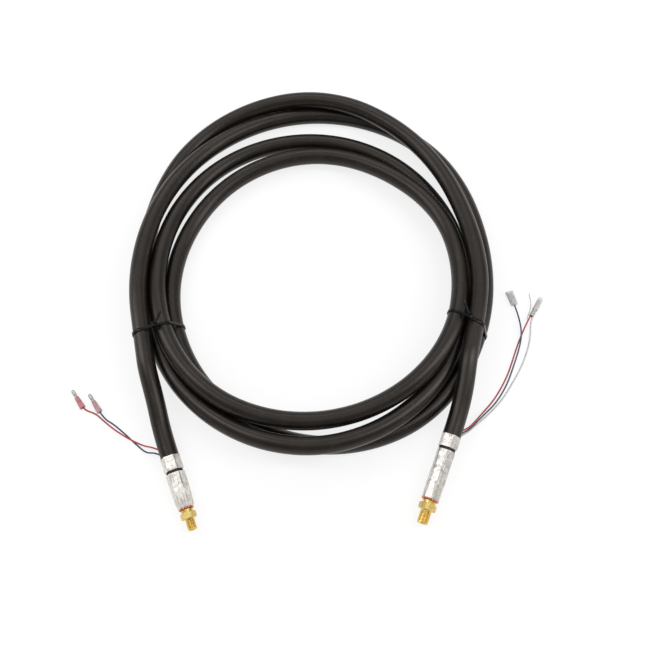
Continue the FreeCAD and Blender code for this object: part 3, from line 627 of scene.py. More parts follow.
@dataclass(frozen=True)
class JacketFinish:
    """Satin black extruded rubber, with faint lengthwise lines, scuffs and a little dust."""

    light: Colour = (0.0118, 0.0092, 0.0078)
    dark: Colour = (0.0052, 0.0042, 0.0036)
    sheen: Colour = (1.0, 0.90, 0.82)
    dust: Colour = (0.16, 0.15, 0.14)
    roughness: float = 0.24
    specular: float = 0.42
    line_stretch: Spot = (60.0, 22.0, 1.0)
    line_depth: float = 0.05
    grain_depth: float = 0.008

    def material(self) -> Material:
        """Build the material on the jacket's own UV map, along and round the cable.

        Returns:
            The material.
        """
        surface = Surface("jacket_rubber", Follows.SURFACE)
        place = surface.add("TexCoord").outputs["Object"]
        colour = surface.mottle(38.0, self.light, self.dark, Vector=place)[0]
        lines = surface.effect("drawn_lines", Stretch=self.line_stretch, Scale=1.0)[0]
        specks = surface.effect("specks", Vector=place, Scale=420.0, Amount=0.12)[0]
        scuffs = surface.spread(surface.noise(place, 90.0, 5.0, 0.7), 0.6, 0.78)
        colour = surface.mix(surface.scaled(scuffs, 0.06), colour, self.dust)
        colour = surface.mix(surface.scaled(specks, 0.35), colour, self.dust)
        grain = surface.noise(place, 1500.0, 2.0, 0.6)
        normal = surface.bump(grain, self.grain_depth, Normal=surface.bump(lines, self.line_depth))
        rough = surface.total(self.roughness, (lines, 0.16), (scuffs, 0.1))
        return surface.shaded(Base_Color=colour, Roughness=rough, Specular_IOR_Level=self.specular,
                              Specular_Tint=self.sheen, Normal=normal)


@dataclass(frozen=True)
class MetalFinish:
    """Metal with cloudy tarnish, fine scratches and dark specks, its pattern turned to run along it."""

    name: str
    light: Colour
    dark: Colour
    speck: Colour
    roughness: float
    scale: float = 260.0
    speck_amount: float = 0.3
    scratch: Spot = (1.0, 0.12, 1.0)
    turn: float = 0.0
    streak: float = 0.0
    relief: float = 0.02
    metallic: float = 1.0

    def material(self) -> Material:
        """Build the material on the piece's place, duller where its faces were milled.

        Returns:
            The material.
        """
        surface = Surface(self.name)
        milled = surface.add("Attribute", attribute_name=MILLED).outputs["Fac"]
        colour, mottled = surface.mottle(self.scale, self.light, self.dark)
        specks = surface.effect("specks", Scale=self.scale * 4.5, Amount=self.speck_amount)[0]
        turned = surface.add("VectorRotate", {"Vector": surface.vector, "Angle": math.radians(self.turn)},
                             rotation_type="Z_AXIS").outputs[0]
        fine, coarse = (surface.effect("drawn_lines", Vector=turned, Stretch=self.scratch, Scale=scale)[0]
                        for scale in (self.scale * 9, self.scale * 3))
        streaks = surface.spread(coarse, 0.5, 0.62)
        colour = surface.mix(surface.scaled(specks, 0.8), colour, self.speck)
        colour = surface.mix(surface.scaled(streaks, self.streak), colour, self.speck)
        rough = surface.total(self.roughness, (mottled, -0.1), (specks, 0.25), (fine, 0.12), (milled, 0.24),
                              clamp=True)
        return surface.shaded(Base_Color=colour, Roughness=rough,
                              Metallic=surface.total(self.metallic, (milled, -0.45), clamp=True),
                              Normal=surface.bump(surface.total(mottled, (fine, 0.5)), self.relief))


@dataclass(frozen=True)
class PlasticFinish:
    """Moulded or extruded plastic, with a little change of tone and a fine surface."""

    name: str
    light: Colour
    dark: Colour
    roughness: float
    specular: float = 0.5
    scale: float = 300.0
    relief: float = 0.01

    def material(self) -> Material:
        """Build the material on the piece's place.

        Returns:
            The material.
        """
        surface = Surface(self.name)
        colour, mottled = surface.mottle(self.scale, self.light, self.dark)
        grain = surface.noise(surface.vector, self.scale * 8, 3.0, 0.6)
        return surface.shaded(Base_Color=colour, Roughness=surface.total(self.roughness, (mottled, 0.1)),
                              Specular_IOR_Level=self.specular, Normal=surface.bump(grain, self.relief))


@dataclass(frozen=True)
class VinylFinish:
    """Translucent vinyl, denser where it is seen edge on."""

    name: str
    light: Colour
    dark: Colour
    opacity: float
    roughness: float = 0.24
    relief: float = 0.02

    def material(self) -> Material:
        """Build the material on the piece's place.

        Returns:
            The material.
        """
        surface = Surface(self.name)
        colour, mottled = surface.mottle(320.0, self.light, self.dark)
        facing = surface.add("LayerWeight", {"Blend": 0.45}).outputs["Facing"]
        alpha = surface.total(self.opacity, (facing, 0.5), (mottled, 0.08), clamp=True)
        grain = surface.noise(surface.vector, 900.0, 2.0)
        return surface.shaded(Base_Color=colour, Roughness=self.roughness, Alpha=alpha,
                              Normal=surface.bump(grain, self.relief))


class Finishes:
    """Materials of the whole assembly."""

    axis_turns = {"left": -20.8, "right": 20.9}
    # Painted light: the one plated steel comes in two copies, the left end's painted lighter and the right
    # end's painted darker, for how the light falls on each end.
    lit_and_shaded_plating = {"left": ((0.87, 0.83, 0.775), (0.70, 0.665, 0.615)),
               "right": ((0.76, 0.735, 0.695), (0.56, 0.535, 0.495))}

    def __init__(self) -> None:
        """Build the effects and every material."""
        Effect.build()
        self.jacket = JacketFinish().material()
        # Each end's steel takes its own painted lighter or darker copy of the plating colours.
        self.steel = {
            side: MetalFinish(f"plated_steel_{side}", *self.lit_and_shaded_plating[side], (0.17, 0.15, 0.125), 0.30,
                              scale=240.0, speck_amount=0.12, turn=turn, streak=0.50, relief=0.010,
                              metallic=0.72).material()
            for side, turn in self.axis_turns.items()
        }
        self.brass = {
            side: MetalFinish(f"turned_brass_{side}", (0.85, 0.65, 0.24), (0.80, 0.59, 0.19),
                              (0.26, 0.15, 0.04), 0.26, scale=180.0, speck_amount=0.02, turn=turn,
                              streak=0.42, relief=0.002).material()
            for side, turn in self.axis_turns.items()
        }
        self.copper = MetalFinish("copper_strands", (0.85, 0.36, 0.20), (0.55, 0.17, 0.09),
                                  (0.14, 0.05, 0.03), 0.34, scale=500.0, speck_amount=0.4).material()
        self.tin = MetalFinish("tinned_metal", (0.56, 0.55, 0.53), (0.40, 0.39, 0.375), (0.12, 0.115, 0.11),
                               0.40, scale=420.0, speck_amount=0.1, relief=0.008, metallic=0.7).material()
        self.seal, self.nylon, self.hose, *wires = (PlasticFinish(*look).material() for look in (
            # Black of the ring that fills the gap between collar and sleeve.
            ("black_gap_band", (0.016, 0.015, 0.014), (0.008, 0.008, 0.008), 0.55),
            ("black_nylon", (0.0045, 0.0044, 0.0043), (0.0028, 0.0028, 0.0028), 0.14, 0.2),
            ("hose_liner", (0.50, 0.50, 0.48), (0.42, 0.42, 0.40), 0.4),
            ("red_insulation", (0.52, 0.065, 0.06), (0.42, 0.04, 0.04), 0.38),
            ("dark_blue_insulation", (0.050, 0.070, 0.15), (0.032, 0.045, 0.11), 0.38),
            ("grey_blue_insulation", (0.075, 0.11, 0.20), (0.05, 0.08, 0.15), 0.38),
            ("white_insulation", (0.70, 0.69, 0.68), (0.60, 0.59, 0.58), 0.4),
        ))
        self.insulation = dict(zip(("wire_red", "wire_dark_blue", "wire_grey_blue", "wire_white"), wires))
        self.pink, self.pale_pink, self.clear = (VinylFinish(*look).material() for look in (
            ("pink_sleeve", (0.72, 0.30, 0.34), (0.60, 0.21, 0.25), 0.62),
            ("pale_pink_sleeve", (0.74, 0.48, 0.50), (0.66, 0.38, 0.41), 0.5),
            ("clear_sleeve", (0.86, 0.85, 0.825), (0.81, 0.80, 0.775), 0.38),
        ))


# Cable
@dataclass(frozen=True)
class FittingSizes:
    """Sizes of one end's fitting in millimetres, and its axis with the base in metres."""

    side: str
    end: str
    base: Spot
    aim: Spot
    rolls: tuple[float, float]
    collar: float
    sleeve: float
    front: float
    shoulder: float
    nut_across: float
    nut: float
    stud_radius: float
    stud: float
    bore: float
    spigot_bore: float
    sections: Outline
    bites: Outline
    corner: float
    slant: float
    seed: int

    @property
    def axis(self) -> Axis:
        """Axis from the jacket's end to the stud's tip."""
        return Axis(Vector(self.base), Vector(self.aim).normalized())


TORCH_END = FittingSizes(
    side="left", end="torch", base=(-0.152146, -0.193789, 0.012341), aim=(0.354367, -0.932877, -0.064532),
    rolls=(33.0, -24.0), collar=16.0, sleeve=38.3, front=15.6, shoulder=3.4, nut_across=15.0, nut=6.6,
    stud_radius=5.0, stud=12.4, bore=2.0, spigot_bore=1.7,
    sections=((0.0, 1.0), (0.06, 1.08), (0.62, 0.92), (0.85, 0.5), (1.0, 0.0)),
    bites=((0.0, 1.5), (0.45, -1.0), (0.5, 2.0), (1.0, 0.0)), corner=1.11, slant=0.5, seed=3,
)
MACHINE_END = FittingSizes(
    side="right", end="machine", base=(0.148968, -0.172013, 0.018155), aim=(-0.354718, -0.928915, -0.106264),
    rolls=(-11.0, 18.0), collar=14.3, sleeve=54.2, front=18.0, shoulder=3.6, nut_across=17.0, nut=6.8,
    stud_radius=6.0, stud=14.7, bore=2.5, spigot_bore=2.0,
    sections=((0.0, 0.9), (0.1, 1.25), (0.16, 0.35), (0.38, 0.2), (0.43, 1.0), (0.48, 0.2), (0.68, 0.1),
              (0.73, 0.9), (0.78, 0.0), (1.0, -0.25)),
    bites=((0.0, 0.0), (0.14, 1.0), (0.18, -4.0), (0.40, -3.0), (0.46, 3.0), (0.70, 2.0), (0.76, -3.0),
           (1.0, -4.0)), corner=1.06, slant=1.6, seed=8,
)


@dataclass
class Cable:
    """Jacketed cable from fitting to fitting: tail, tied coil and tail."""

    diameter: float = 0.020
    length: float = 4.66
    coil_radius: float = 0.190
    centre: tuple[float, float] = (0.0004, 0.0404)
    sides: int = 40
    per_turn: int = 24
    resolution: int = 8
    left_corner: Spot = (-0.170046, -0.135589, 0.022)
    right_corner: Spot = (0.164968, -0.121513, 0.0282)
    left_run: float = 0.028
    right_run: float = 0.024
    end_slopes: tuple[tuple[float, float], tuple[float, float]] = ((-3.3, 0.6), (2.2, 0.1))
    # Bearing in degrees, lane outside the coil radius and layer above the floor, both in cable diameters
    stations: tuple[Spot, ...] = (
        (208.5, 1.25, 1.15), (190.0, 0.60, 1.20), (165.0, 0.20, 1.15), (127.0, 0.45, 0.45),
        (90.0, 0.90, 0.05), (50.0, 0.90, 0.10), (12.0, 0.30, 0.40), (333.3, 0.90, 0.10),
        (302.0, 1.70, 0.00), (270.0, 1.55, 0.05), (238.0, 0.55, 0.00), (208.5, -0.55, 0.10),
        (165.0, -1.80, 0.05), (127.0, -2.30, 0.25), (90.0, -2.35, 0.35), (50.0, -2.30, 0.70),
        (12.0, -1.45, 0.95), (350.0, -1.05, 1.15), (333.3, -0.55, 1.40), (302.0, 0.15, 1.40),
        (270.0, 0.50, 1.05), (238.0, 0.65, 1.25), (208.5, 0.05, 1.00), (190.0, -0.40, 0.80),
        (165.0, -0.75, 0.55), (127.0, -0.90, 0.10), (90.0, -1.15, 0.10), (50.0, -1.30, 0.20),
        (12.0, -0.95, 0.00), (333.3, -0.15, 0.35), (302.0, 1.05, 0.85), (270.0, 1.95, 1.35),
        (238.0, 1.50, 0.65), (208.5, 0.70, 0.15), (165.0, 0.55, 0.15), (127.0, 1.65, 0.10),
        (90.0, 1.50, 0.90), (50.0, 0.20, 1.15), (12.0, -0.40, 1.35), (350.0, 0.05, 1.40),
        (333.3, 0.55, 1.30),
    )
    points: list[Vector] = field(default_factory=list)

    def turns(self) -> list[float]:
        """Find the bearings of the stations, falling all the way round.

        Returns:
            Bearings in radians.
        """
        bearings = [math.radians(self.stations[0][0])]
        for bearing, _lane, _layer in self.stations[1:]:
            bearings.append(bearings[-1] - (bearings[-1] - math.radians(bearing)) % FULL_TURN)
        return bearings

    def slopes(self, turns: Sequence[float], column: int) -> list[float]:
        """Find the slope of a column at each station from its neighbours.

        Args:
            turns: Bearings in radians.
            column: 1 for the lane, 2 for the layer.

        Returns:
            Slopes in cable diameters a radian.
        """
        values = [station[column] for station in self.stations]
        steps = [before - after for before, after in zip(turns, turns[1:])]
        rates = [(high - low) / step for low, high, step in zip(values, values[1:], steps)]
        inner = [(after * rate + before * next_rate) / (before + after)
                 for before, after, rate, next_rate in zip(steps, steps[1:], rates, rates[1:])]
        return [self.end_slopes[0][column - 1], *inner, self.end_slopes[1][column - 1]]

    def coil_place(self, turn: float, turns: Sequence[float], outward: float = 1.0) -> Vector:
        """Find the cable's middle at a bearing of its way round.

        Args:
            turn: Bearing in radians, counted down from the first station.
            turns: Bearings of the stations.
            outward: Factor on the radius.

        Returns:
            Point in metres.
        """
        index = max(i for i in range(len(turns) - 1) if turns[i] >= turn or i == 0)
        step = turns[index] - turns[index + 1]
        share = (turns[index] - turn) / step
        values = []
        for column in (1, 2):
            slopes = self.slopes(turns, column)
            start, end = self.stations[index][column], self.stations[index + 1][column]
            values.append(
                (1 + 2 * share) * (1 - share) ** 2 * start + share * (1 - share) ** 2 * step * slopes[index]
                + share ** 2 * (3 - 2 * share) * end + share ** 2 * (share - 1) * step * slopes[index + 1]
            )
        lane, layer = values
        radius = (self.coil_radius + lane * self.diameter) * outward
        return Vector((self.centre[0] + radius * math.cos(turn), self.centre[1] + radius * math.sin(turn),
                       (0.5 + layer) * self.diameter))

    def coil_aim(self, turn: float, lane: float, slope: tuple[float, float]) -> Vector:
        """Find the way that the coil runs at a station.

        Args:
            turn: Bearing in radians.
            lane: Lane there.
            slope: Slopes of the lane and the layer there.

        Returns:
            Direction of length 1.
        """
        radius = self.coil_radius + lane * self.diameter
        outward = Vector((math.cos(turn), math.sin(turn), 0.0))
        onward = Vector((math.sin(turn), -math.cos(turn), 0.0))
        heading = outward * (slope[0] * self.diameter) + onward * radius + UP * (slope[1] * self.diameter)
        return heading.normalized()

    def route(self) -> list[Vector]:
        """Lay the whole cable's control points.

        Returns:
            Points from the torch end's jacket to the machine end's.
        """
        turns = self.turns()
        start, end = self.coil_place(turns[0], turns), self.coil_place(turns[-1], turns)
        start_aim = self.coil_aim(turns[0], self.stations[0][1], self.end_slopes[0])
        end_aim = self.coil_aim(turns[-1], self.stations[-1][1], self.end_slopes[1])
        left, right = TORCH_END.axis, MACHINE_END.axis
        points = [left.base, left.base - left.aim * self.left_run, Vector(self.left_corner),
                  start - start_aim * (2 * self.diameter), start - start_aim * self.diameter]
        count = round((turns[0] - turns[-1]) / FULL_TURN * self.per_turn)
        swell = 1 + (math.pi / self.per_turn) ** 2 / 2
        for k in range(count + 1):
            turn = turns[0] + (turns[-1] - turns[0]) * k / count
            points.append(self.coil_place(turn, turns, 1.0 if k in (0, count) else swell))
        points += [end + end_aim * self.diameter, end + end_aim * (2 * self.diameter),
                   Vector(self.right_corner), right.base - right.aim * self.right_run, right.base]
        return points

    def build(self, finishes: Finishes) -> Object:
        """Build the jacket as one tube on the route's smooth line.

        Args:
            finishes: Materials.

        Returns:
            Jacket.
        """
        line = cord_line("jacket_line", self.route(), self.resolution)
        self.points = line_points(line)
        give_thickness(line, self.diameter, self.sides)
        bpy.context.view_layer.update()
        mesh = bpy.data.meshes.new_from_object(line)
        bpy.data.objects.remove(line)
        mesh.name = "cable_jacket"
        mesh.materials.clear()
        mesh.shade_smooth()
        mesh.set_sharp_from_angle(angle=math.radians(40.0))
        LOG.info("the cable is %.3f m long", line_length(self.points))
        return placed(linked("cable_jacket", mesh), "jacket", finishes.jacket,
                      "jacket_coil", "jacket_tail_left", "jacket_tail_right")


# Crimped fittings
@dataclass
class CrimpedFitting:
    """Collar, black gap ring, crimp sleeve, strand ends and threaded connector at one end of the cable."""

    sizes: FittingSizes
    finishes: Finishes
    jacket_bore: float = 7.5
    neck: float = 8.6
    collar_flat: float = 9.5
    collar_corner: float = 10.75
    ring_radius: float = 9.0
    ring_width: float = 2.8
    sleeve_wall: float = 1.7
    lip: float = 1.8
    strand: float = 0.86
    strand_layer: float = 0.84
    hose_radius: float = 4.5
    hose_gap: float = 0.2
    spigot: float = 22.0
    spigot_radius: float = 2.9
    pitch: float = 1.0
    thread_depth: float = 0.4
    thread_steps: int = 36
    run_out: float = 1.2

    @property
    def sleeve_start(self) -> float:
        """Distance from the jacket's end to the sleeve."""
        return self.sizes.collar + self.ring_width

    @property
    def front_bore(self) -> float:
        """Radius of the sleeve's bore at its front."""
        return self.sizes.front / 2 - self.sleeve_wall * 0.75

    def fitted(self, name: str, shape: BMesh, along: float, slot: str, material: Material, node: str,
               roll: float = 0.0, sharp: float = 32.0) -> Object:
        """Put a piece on the fitting's axis and dress it.

        Args:
            name: Name of the piece, without its end.
            shape: Shape in millimetres along +Z.
            along: Distance from the jacket's end.
            slot: Material slot of the record.
            material: Its material.
            node: CAD node that it stands for, without its side.
            roll: Turn about the axis in degrees.
            sharp: Angle in degrees from which an edge is shaded sharp.

        Returns:
            The piece.
        """
        piece = finished(f"{self.sizes.end}_{name}", shape, self.sizes.axis.frame(along, roll), sharp)
        return placed(piece, slot, material, f"{node}_{self.sizes.side}")

    def worn(self, bearing: float, height: float, *dents: tuple[float, float]) -> float:
        """Find the hammered unevenness at a place on a skin.

        Args:
            bearing: Bearing in radians.
            height: Height in millimetres.
            dents: Depth and scale of each layer of dents.

        Returns:
            Sum of the layers in millimetres.
        """
        spot = Vector((math.cos(bearing) * 9.0, math.sin(bearing) * 9.0, height + self.sizes.seed * 37.0))
        return sum(depth * noise.noise(spot * scale) for depth, scale in dents)

    def collar(self) -> Object:
        """Build the six sided collar, its ends turned down and its flats pressed.

        Returns:
            The collar.
        """
        length, top = self.sizes.collar, self.collar_flat + 1.5
        shape = pipe((self.neck, top), (0, length), 120, 0.45, 0.8)

        def skin(bearing: float, height: float) -> float:
            """Find the radius of the pressed collar.

            Args:
                bearing: Bearing in radians.
                height: Height in millimetres.

            Returns:
                Radius in millimetres.
            """
            flat = self.collar_flat - 0.16 * math.sin(math.pi * height / length) ** 2
            worn = self.worn(bearing, height, (0.08, 0.3), (0.025, 1.1))
            return hexagon(bearing, flat, self.collar_corner, 7.0) + worn

        reshape_skin(shape, top, self.neck + 0.3, skin)
        return self.fitted("collar", shape, 0.0, "plated_steel", self.finishes.steel[self.sizes.side],
                           "collar", self.sizes.rolls[0], 26.0)

    def ring(self) -> Object:
        """Build the black ring between collar and sleeve.

        Returns:
            The ring.
        """
        shape = pipe((self.jacket_bore, self.ring_radius), (0, self.ring_width), 72, 0.3)
        # The black ring fills the dark band between collar and sleeve.
        return self.fitted("black_gap_ring", shape, self.sizes.collar, "seal", self.finishes.seal, "gap_ring")

    def sleeve(self) -> Object:
        """Build the crimp sleeve, pressed by jaws of six sides in slanted bites.

        Returns:
            The sleeve.
        """
        sizes = self.sizes
        rear = 2 * (self.jacket_bore + self.sleeve_wall)
        top = 12.0
        bore = rear / 2 - self.sleeve_wall
        outline = [(bore, 0), (top, 0), (top, sizes.sleeve), (self.front_bore, sizes.sleeve)]
        shape = spun(outline, 120, 0.35, 0.7)

        def skin(bearing: float, height: float) -> float:
            """Find the radius of the pressed sleeve, with the burr that the jaws leave at its corners.

            Args:
                bearing: Bearing in radians.
                height: Height in millimetres.

            Returns:
                Radius in millimetres.
            """
            slanted = height + sizes.slant * math.sin(bearing + 0.6)
            share = min(1.0, max(0.0, slanted / sizes.sleeve))
            flat = (sizes.front + run_of(sizes.sections, share) * (rear - sizes.front)) / 2
            worn = self.worn(bearing, height, (0.10, 0.22), (0.035, 0.7))
            turned = bearing + math.radians(run_of(sizes.bites, share))
            burr = 0.2 * bell((turned + SIXTH / 2) % SIXTH, SIXTH / 2, 0.06)
            return hexagon(turned, flat, flat * sizes.corner, 7.0) + worn + burr

        reshape_skin(shape, top, bore + 0.5, skin)
        return self.fitted("crimp_sleeve", shape, self.sleeve_start, "plated_steel",
                           self.finishes.steel[sizes.side], "crimp_sleeve", sizes.rolls[0], 26.0)

    def strand_lip(self) -> Object:
        """Build the cut ends of the copper strands in front of the sleeve.

        Returns:
            The lip.
        """
        sizes = self.sizes
        picks = random.Random(sizes.seed)
        outer, inner = sizes.front / 2 + 0.1, self.hose_radius + self.hose_gap
        lip = spun([(inner, -sizes.sleeve), (self.jacket_bore - 0.2, -sizes.sleeve),
                    (self.front_bore - 0.2, 0.0), (outer - 0.6, 0.1), (outer - 0.7, 0.8), (inner, 0.9)], 72)
        radius = outer - 0.4
        while radius > self.hose_radius + 0.6:
            count = int(FULL_TURN * radius / self.strand)
            for k in range(count):
                bearing = FULL_TURN * (k + picks.uniform(-0.25, 0.25)) / count
                reach = picks.uniform(1.0, 1.8)
                spot = Matrix.Translation((radius + picks.uniform(-0.12, 0.12), 0, 0))
                lean = Matrix.Rotation(picks.uniform(-0.1, 0.25), 4, "Y")
                place = Matrix.Rotation(bearing, 4, "Z") @ spot @ lean @ Matrix.Translation((0, 0, reach / 2))
                bmesh.ops.create_cone(lip, cap_ends=True, segments=6, radius1=0.44, radius2=0.40, depth=reach,
                                      matrix=place)
            radius -= self.strand_layer
        return self.fitted("strand_lip", lip, self.sleeve_start + sizes.sleeve, "copper",
                           self.finishes.copper, "strand_end", sizes.rolls[0])

    def thread(self, start: float, end: float) -> BMesh:
        """Wind the thread's ridge round the stud.

        Args:
            start: Height where it starts, in millimetres.
            end: Height where it ends.

        Returns:
            Closed shape, run out at both ends.
        """
        crest = self.sizes.stud_radius
        root = crest - self.thread_depth
        half = self.pitch / 2
        shape = bmesh.new()
        flank = [(root - 0.1, 0.95), (root, 0.85), (crest, 0.12)]
        corners = [(radius, -share) for radius, share in flank] + flank[::-1]
        verts = [shape.verts.new((radius, 0.0, start + half + half * share)) for radius, share in corners]
        face = shape.faces.new(verts)
        windings = int(end - start - self.pitch)
        bmesh.ops.spin(shape, geom=[face, *verts, *face.edges], cent=(0, 0, 0), axis=(0, 0, 1),
                       dvec=(0, 0, self.pitch / self.thread_steps), angle=FULL_TURN * windings,
                       steps=self.thread_steps * windings)
        bmesh.ops.recalc_face_normals(shape, faces=shape.faces[:])
        for vert in shape.verts:
            radius, _bearing = polar(vert)
            if radius > root:
                fade = min(1.0, (vert.co.z - start) / self.run_out, (end - vert.co.z) / self.run_out)
                rescale(vert, (root - 0.05 + (radius - root + 0.05) * max(0.0, fade)) / radius)
        return shape

    def connector(self) -> Object:
        """Build the brass connector: spigot, shoulder, hexagon nut and threaded stud, bored through.

        Returns:
            The connector.
        """
        sizes = self.sizes
        rear = self.spigot
        nut_rear = rear + sizes.shoulder
        nut_front = nut_rear + sizes.nut
        tip = nut_front + sizes.stud
        flat, corner = sizes.nut_across / 2, sizes.nut_across / math.sqrt(3)
        root = sizes.stud_radius - self.thread_depth
        chamfer = (corner - flat) * 0.9
        body = spun([
            (sizes.spigot_bore, 0.0), (self.spigot_radius - 0.4, 0.0), (self.spigot_radius, 1.6),
            (self.spigot_radius, rear), (flat - 1.2, rear), (flat - 0.8, rear + 0.5),
            (flat - 0.8, rear + 1.5), (flat - 1.5, rear + 2.0), (flat - 1.5, nut_rear - 0.4),
            (flat - 0.2, nut_rear), (flat, nut_rear + 0.01), (corner, nut_rear + chamfer),
            (corner, nut_front - chamfer), (flat, nut_front - 0.01), (flat - 0.6, nut_front),
            (root + 0.1, nut_front), (root - 0.15, nut_front + 0.5), (root, nut_front + 1.0),
            (root, tip - 1.0), (root - 0.5, tip - 0.1), (root - 0.7, tip), (sizes.bore + 0.5, tip),
            (sizes.bore, tip - 0.5), (sizes.bore, rear), (sizes.spigot_bore, rear - 0.5),
        ], 144, 0.12, 0.35)
        for vert in body.verts:
            radius, bearing = polar(vert)
            if nut_rear - 0.05 < vert.co.z < nut_front + 0.05 and radius > flat - 1.0:
                rescale(vert, min(1.0, hexagon(bearing, flat, corner - 0.12, 14.0) / radius))
        shape = joined(body, self.thread(nut_front + 0.8, tip - 0.3))
        milled = shape.verts.layers.float.new(MILLED)
        for vert in shape.verts:
            vert[milled] = float(polar(vert)[0] > flat - 0.5 and nut_rear < vert.co.z < nut_front)
        return self.fitted("connector", shape, self.sleeve_start + sizes.sleeve + self.lip - rear, "brass",
                           self.finishes.brass[sizes.side], "connector", sizes.rolls[1], 24.0)

    def build(self) -> list[Object]:
        """Build every piece of the fitting, from the jacket outwards."""
        return [self.collar(), self.ring(), self.sleeve(), self.strand_lip(), self.connector()]


# Ties
@dataclass
class CableTie:
    """Nylon tie pulled round the strands, with its head on top and its cut tail standing up."""

    name: str
    node: str
    bearing: float
    skew: float
    head_aside: float
    tail_aim: Spot
    width: float = 3.6
    thickness: float = 1.1
    inside: float = 10.1
    middle_radius: float = 0.195
    reach: float = 52.0
    head: Spot = (6.6, 4.8, 6.2)
    tail: Spot = (1.1, 3.4, 22.0)
    teeth: int = 32
    tooth: float = 0.28

    def plane(self, cable: Cable) -> Matrix:
        """Find the place of the tie's plane.

        Args:
            cable: Cable that it ties.

        Returns:
            Matrix whose local X runs across the strands and local Y up, in millimetres.
        """
        angle = math.radians(self.bearing)
        radial = Vector((math.cos(angle), math.sin(angle), 0.0))
        across = Matrix.Rotation(math.radians(self.skew), 3, "Z") @ radial
        spot = Vector((*cable.centre, 0.0)) + radial * self.middle_radius
        turn = Matrix((across, UP, across.cross(UP))).transposed().to_4x4()
        return Matrix.Translation(spot) @ turn @ Matrix.Scale(MM, 4)

    def crossings(self, cable: Cable, place: Matrix) -> list[tuple[float, float]]:
        """Find where the strands cross the tie's plane.

        Args:
            cable: Cable with its line's points.
            place: Place of the tie's plane.

        Returns:
            Corners of the smallest convex outline round the strands' middles, counterclockwise.
        """
        local = [place.inverted() @ point for point in cable.points]
        found = []
        for before, after in zip(local, local[1:]):
            if before.z * after.z <= 0 and abs(before.x) < self.reach:
                share = before.z / (before.z - after.z) if before.z != after.z else 0.0
                spot = before.lerp(after, share)
                found.append((spot.x, spot.y))
        found.sort()

        def half(places: Iterable[tuple[float, float]]) -> list[tuple[float, float]]:
            """Find the lower or the upper half of the outline.

            Args:
                places: Crossings in order along X, or against it.

            Returns:
                Corners of the half, without its last one.
            """
            chain: list[tuple[float, float]] = []
            for x, y in places:
                while len(chain) > 1 and ((chain[-1][0] - chain[-2][0]) * (y - chain[-2][1])
                                          - (chain[-1][1] - chain[-2][1]) * (x - chain[-2][0])) <= 0:
                    chain.pop()
                chain.append((x, y))
            return chain[:-1]

        return half(found) + half(reversed(found))

    def strap(self, hull: Sequence[tuple[float, float]]) -> BMesh:
        """Build the strap round the hull of the strands.

        Args:
            hull: Corners in the tie's plane.

        Returns:
            Closed band with rounded edges.
        """
        band = bmesh.new()
        headings = [math.atan2(y1 - y0, x1 - x0) for (x0, y0), (x1, y1) in zip(hull, [*hull[1:], hull[0]])]
        for radius in (self.inside, self.inside + self.thickness):
            ends = []
            for i, (x, y) in enumerate(hull):
                turn = (headings[i] - headings[i - 1]) % FULL_TURN
                normal = headings[i - 1] - math.pi / 2
                first = band.verts.new((x + radius * math.cos(normal), y + radius * math.sin(normal), 0.0))
                ends.append((first, swung(band, first, (x, y, 0), turn, 14)))
            for (_first, last), (following, _last) in zip(ends, ends[1:] + ends[:1]):
                band.edges.new((last, following))
        bmesh.ops.bridge_loops(band, edges=band.edges[:])
        grown = bmesh.ops.extrude_face_region(band, geom=band.faces[:])
        bmesh.ops.translate(band, verts=fresh_verts(grown, "geom"), vec=(0, 0, self.width))
        bmesh.ops.translate(band, verts=band.verts[:], vec=(0, 0, -self.width / 2))
        bmesh.ops.recalc_face_normals(band, faces=band.faces[:])
        rims = [edge for edge in band.edges if len(edge.link_faces) == 2 and edge.calc_face_angle() > 1.0]
        bmesh.ops.bevel(band, geom=rims, offset=0.22, segments=2, profile=0.5, affect="EDGES", material=-1)
        return band

    def head_box(self) -> BMesh:
        """Build the head, with the well that the tail comes out of.

        Returns:
            Closed box on the XZ plane, in millimetres.
        """
        box = bmesh.new()
        middle = Matrix.Translation((0, self.head[1] / 2 - 0.3, 0))
        bmesh.ops.create_cube(box, size=1.0, matrix=middle @ Matrix.Diagonal((*self.head, 1.0)))
        bmesh.ops.bevel(box, geom=box.edges[:], offset=0.7, segments=3, profile=0.5, affect="EDGES",
                        material=-1)
        top = [face for face in box.faces if face.normal.y > 0.99]
        bmesh.ops.inset_region(box, faces=top, thickness=1.1, depth=0.0)
        bmesh.ops.inset_region(box, faces=top, thickness=0.25, depth=-1.2)
        return box

    def tail_strip(self) -> BMesh:
        """Build the cut tail, toothed on one side.

        Returns:
            Closed strip along +Z, in millimetres.
        """
        thickness, width, length = self.tail
        strip = bmesh.new()
        bmesh.ops.create_cube(strip, size=1.0, matrix=Matrix.Diagonal((thickness, width, length, 1.0)))
        bmesh.ops.translate(strip, verts=strip.verts[:], vec=(0, 0, length / 2))
        long_edges = [edge for edge in strip.edges if abs(edge.verts[0].co.z - edge.verts[1].co.z) > 1.0]
        bmesh.ops.subdivide_edges(strip, edges=long_edges, cuts=self.teeth - 1, use_grid_fill=True)
        for vert in strip.verts:
            tooth = round(vert.co.z / length * self.teeth)
            if vert.co.x > 0 and 1 < tooth < self.teeth - 1 and tooth % 2:
                vert.co.x -= self.tooth
            if tooth >= self.teeth - 1:
                vert.co.y *= 0.8
        return strip

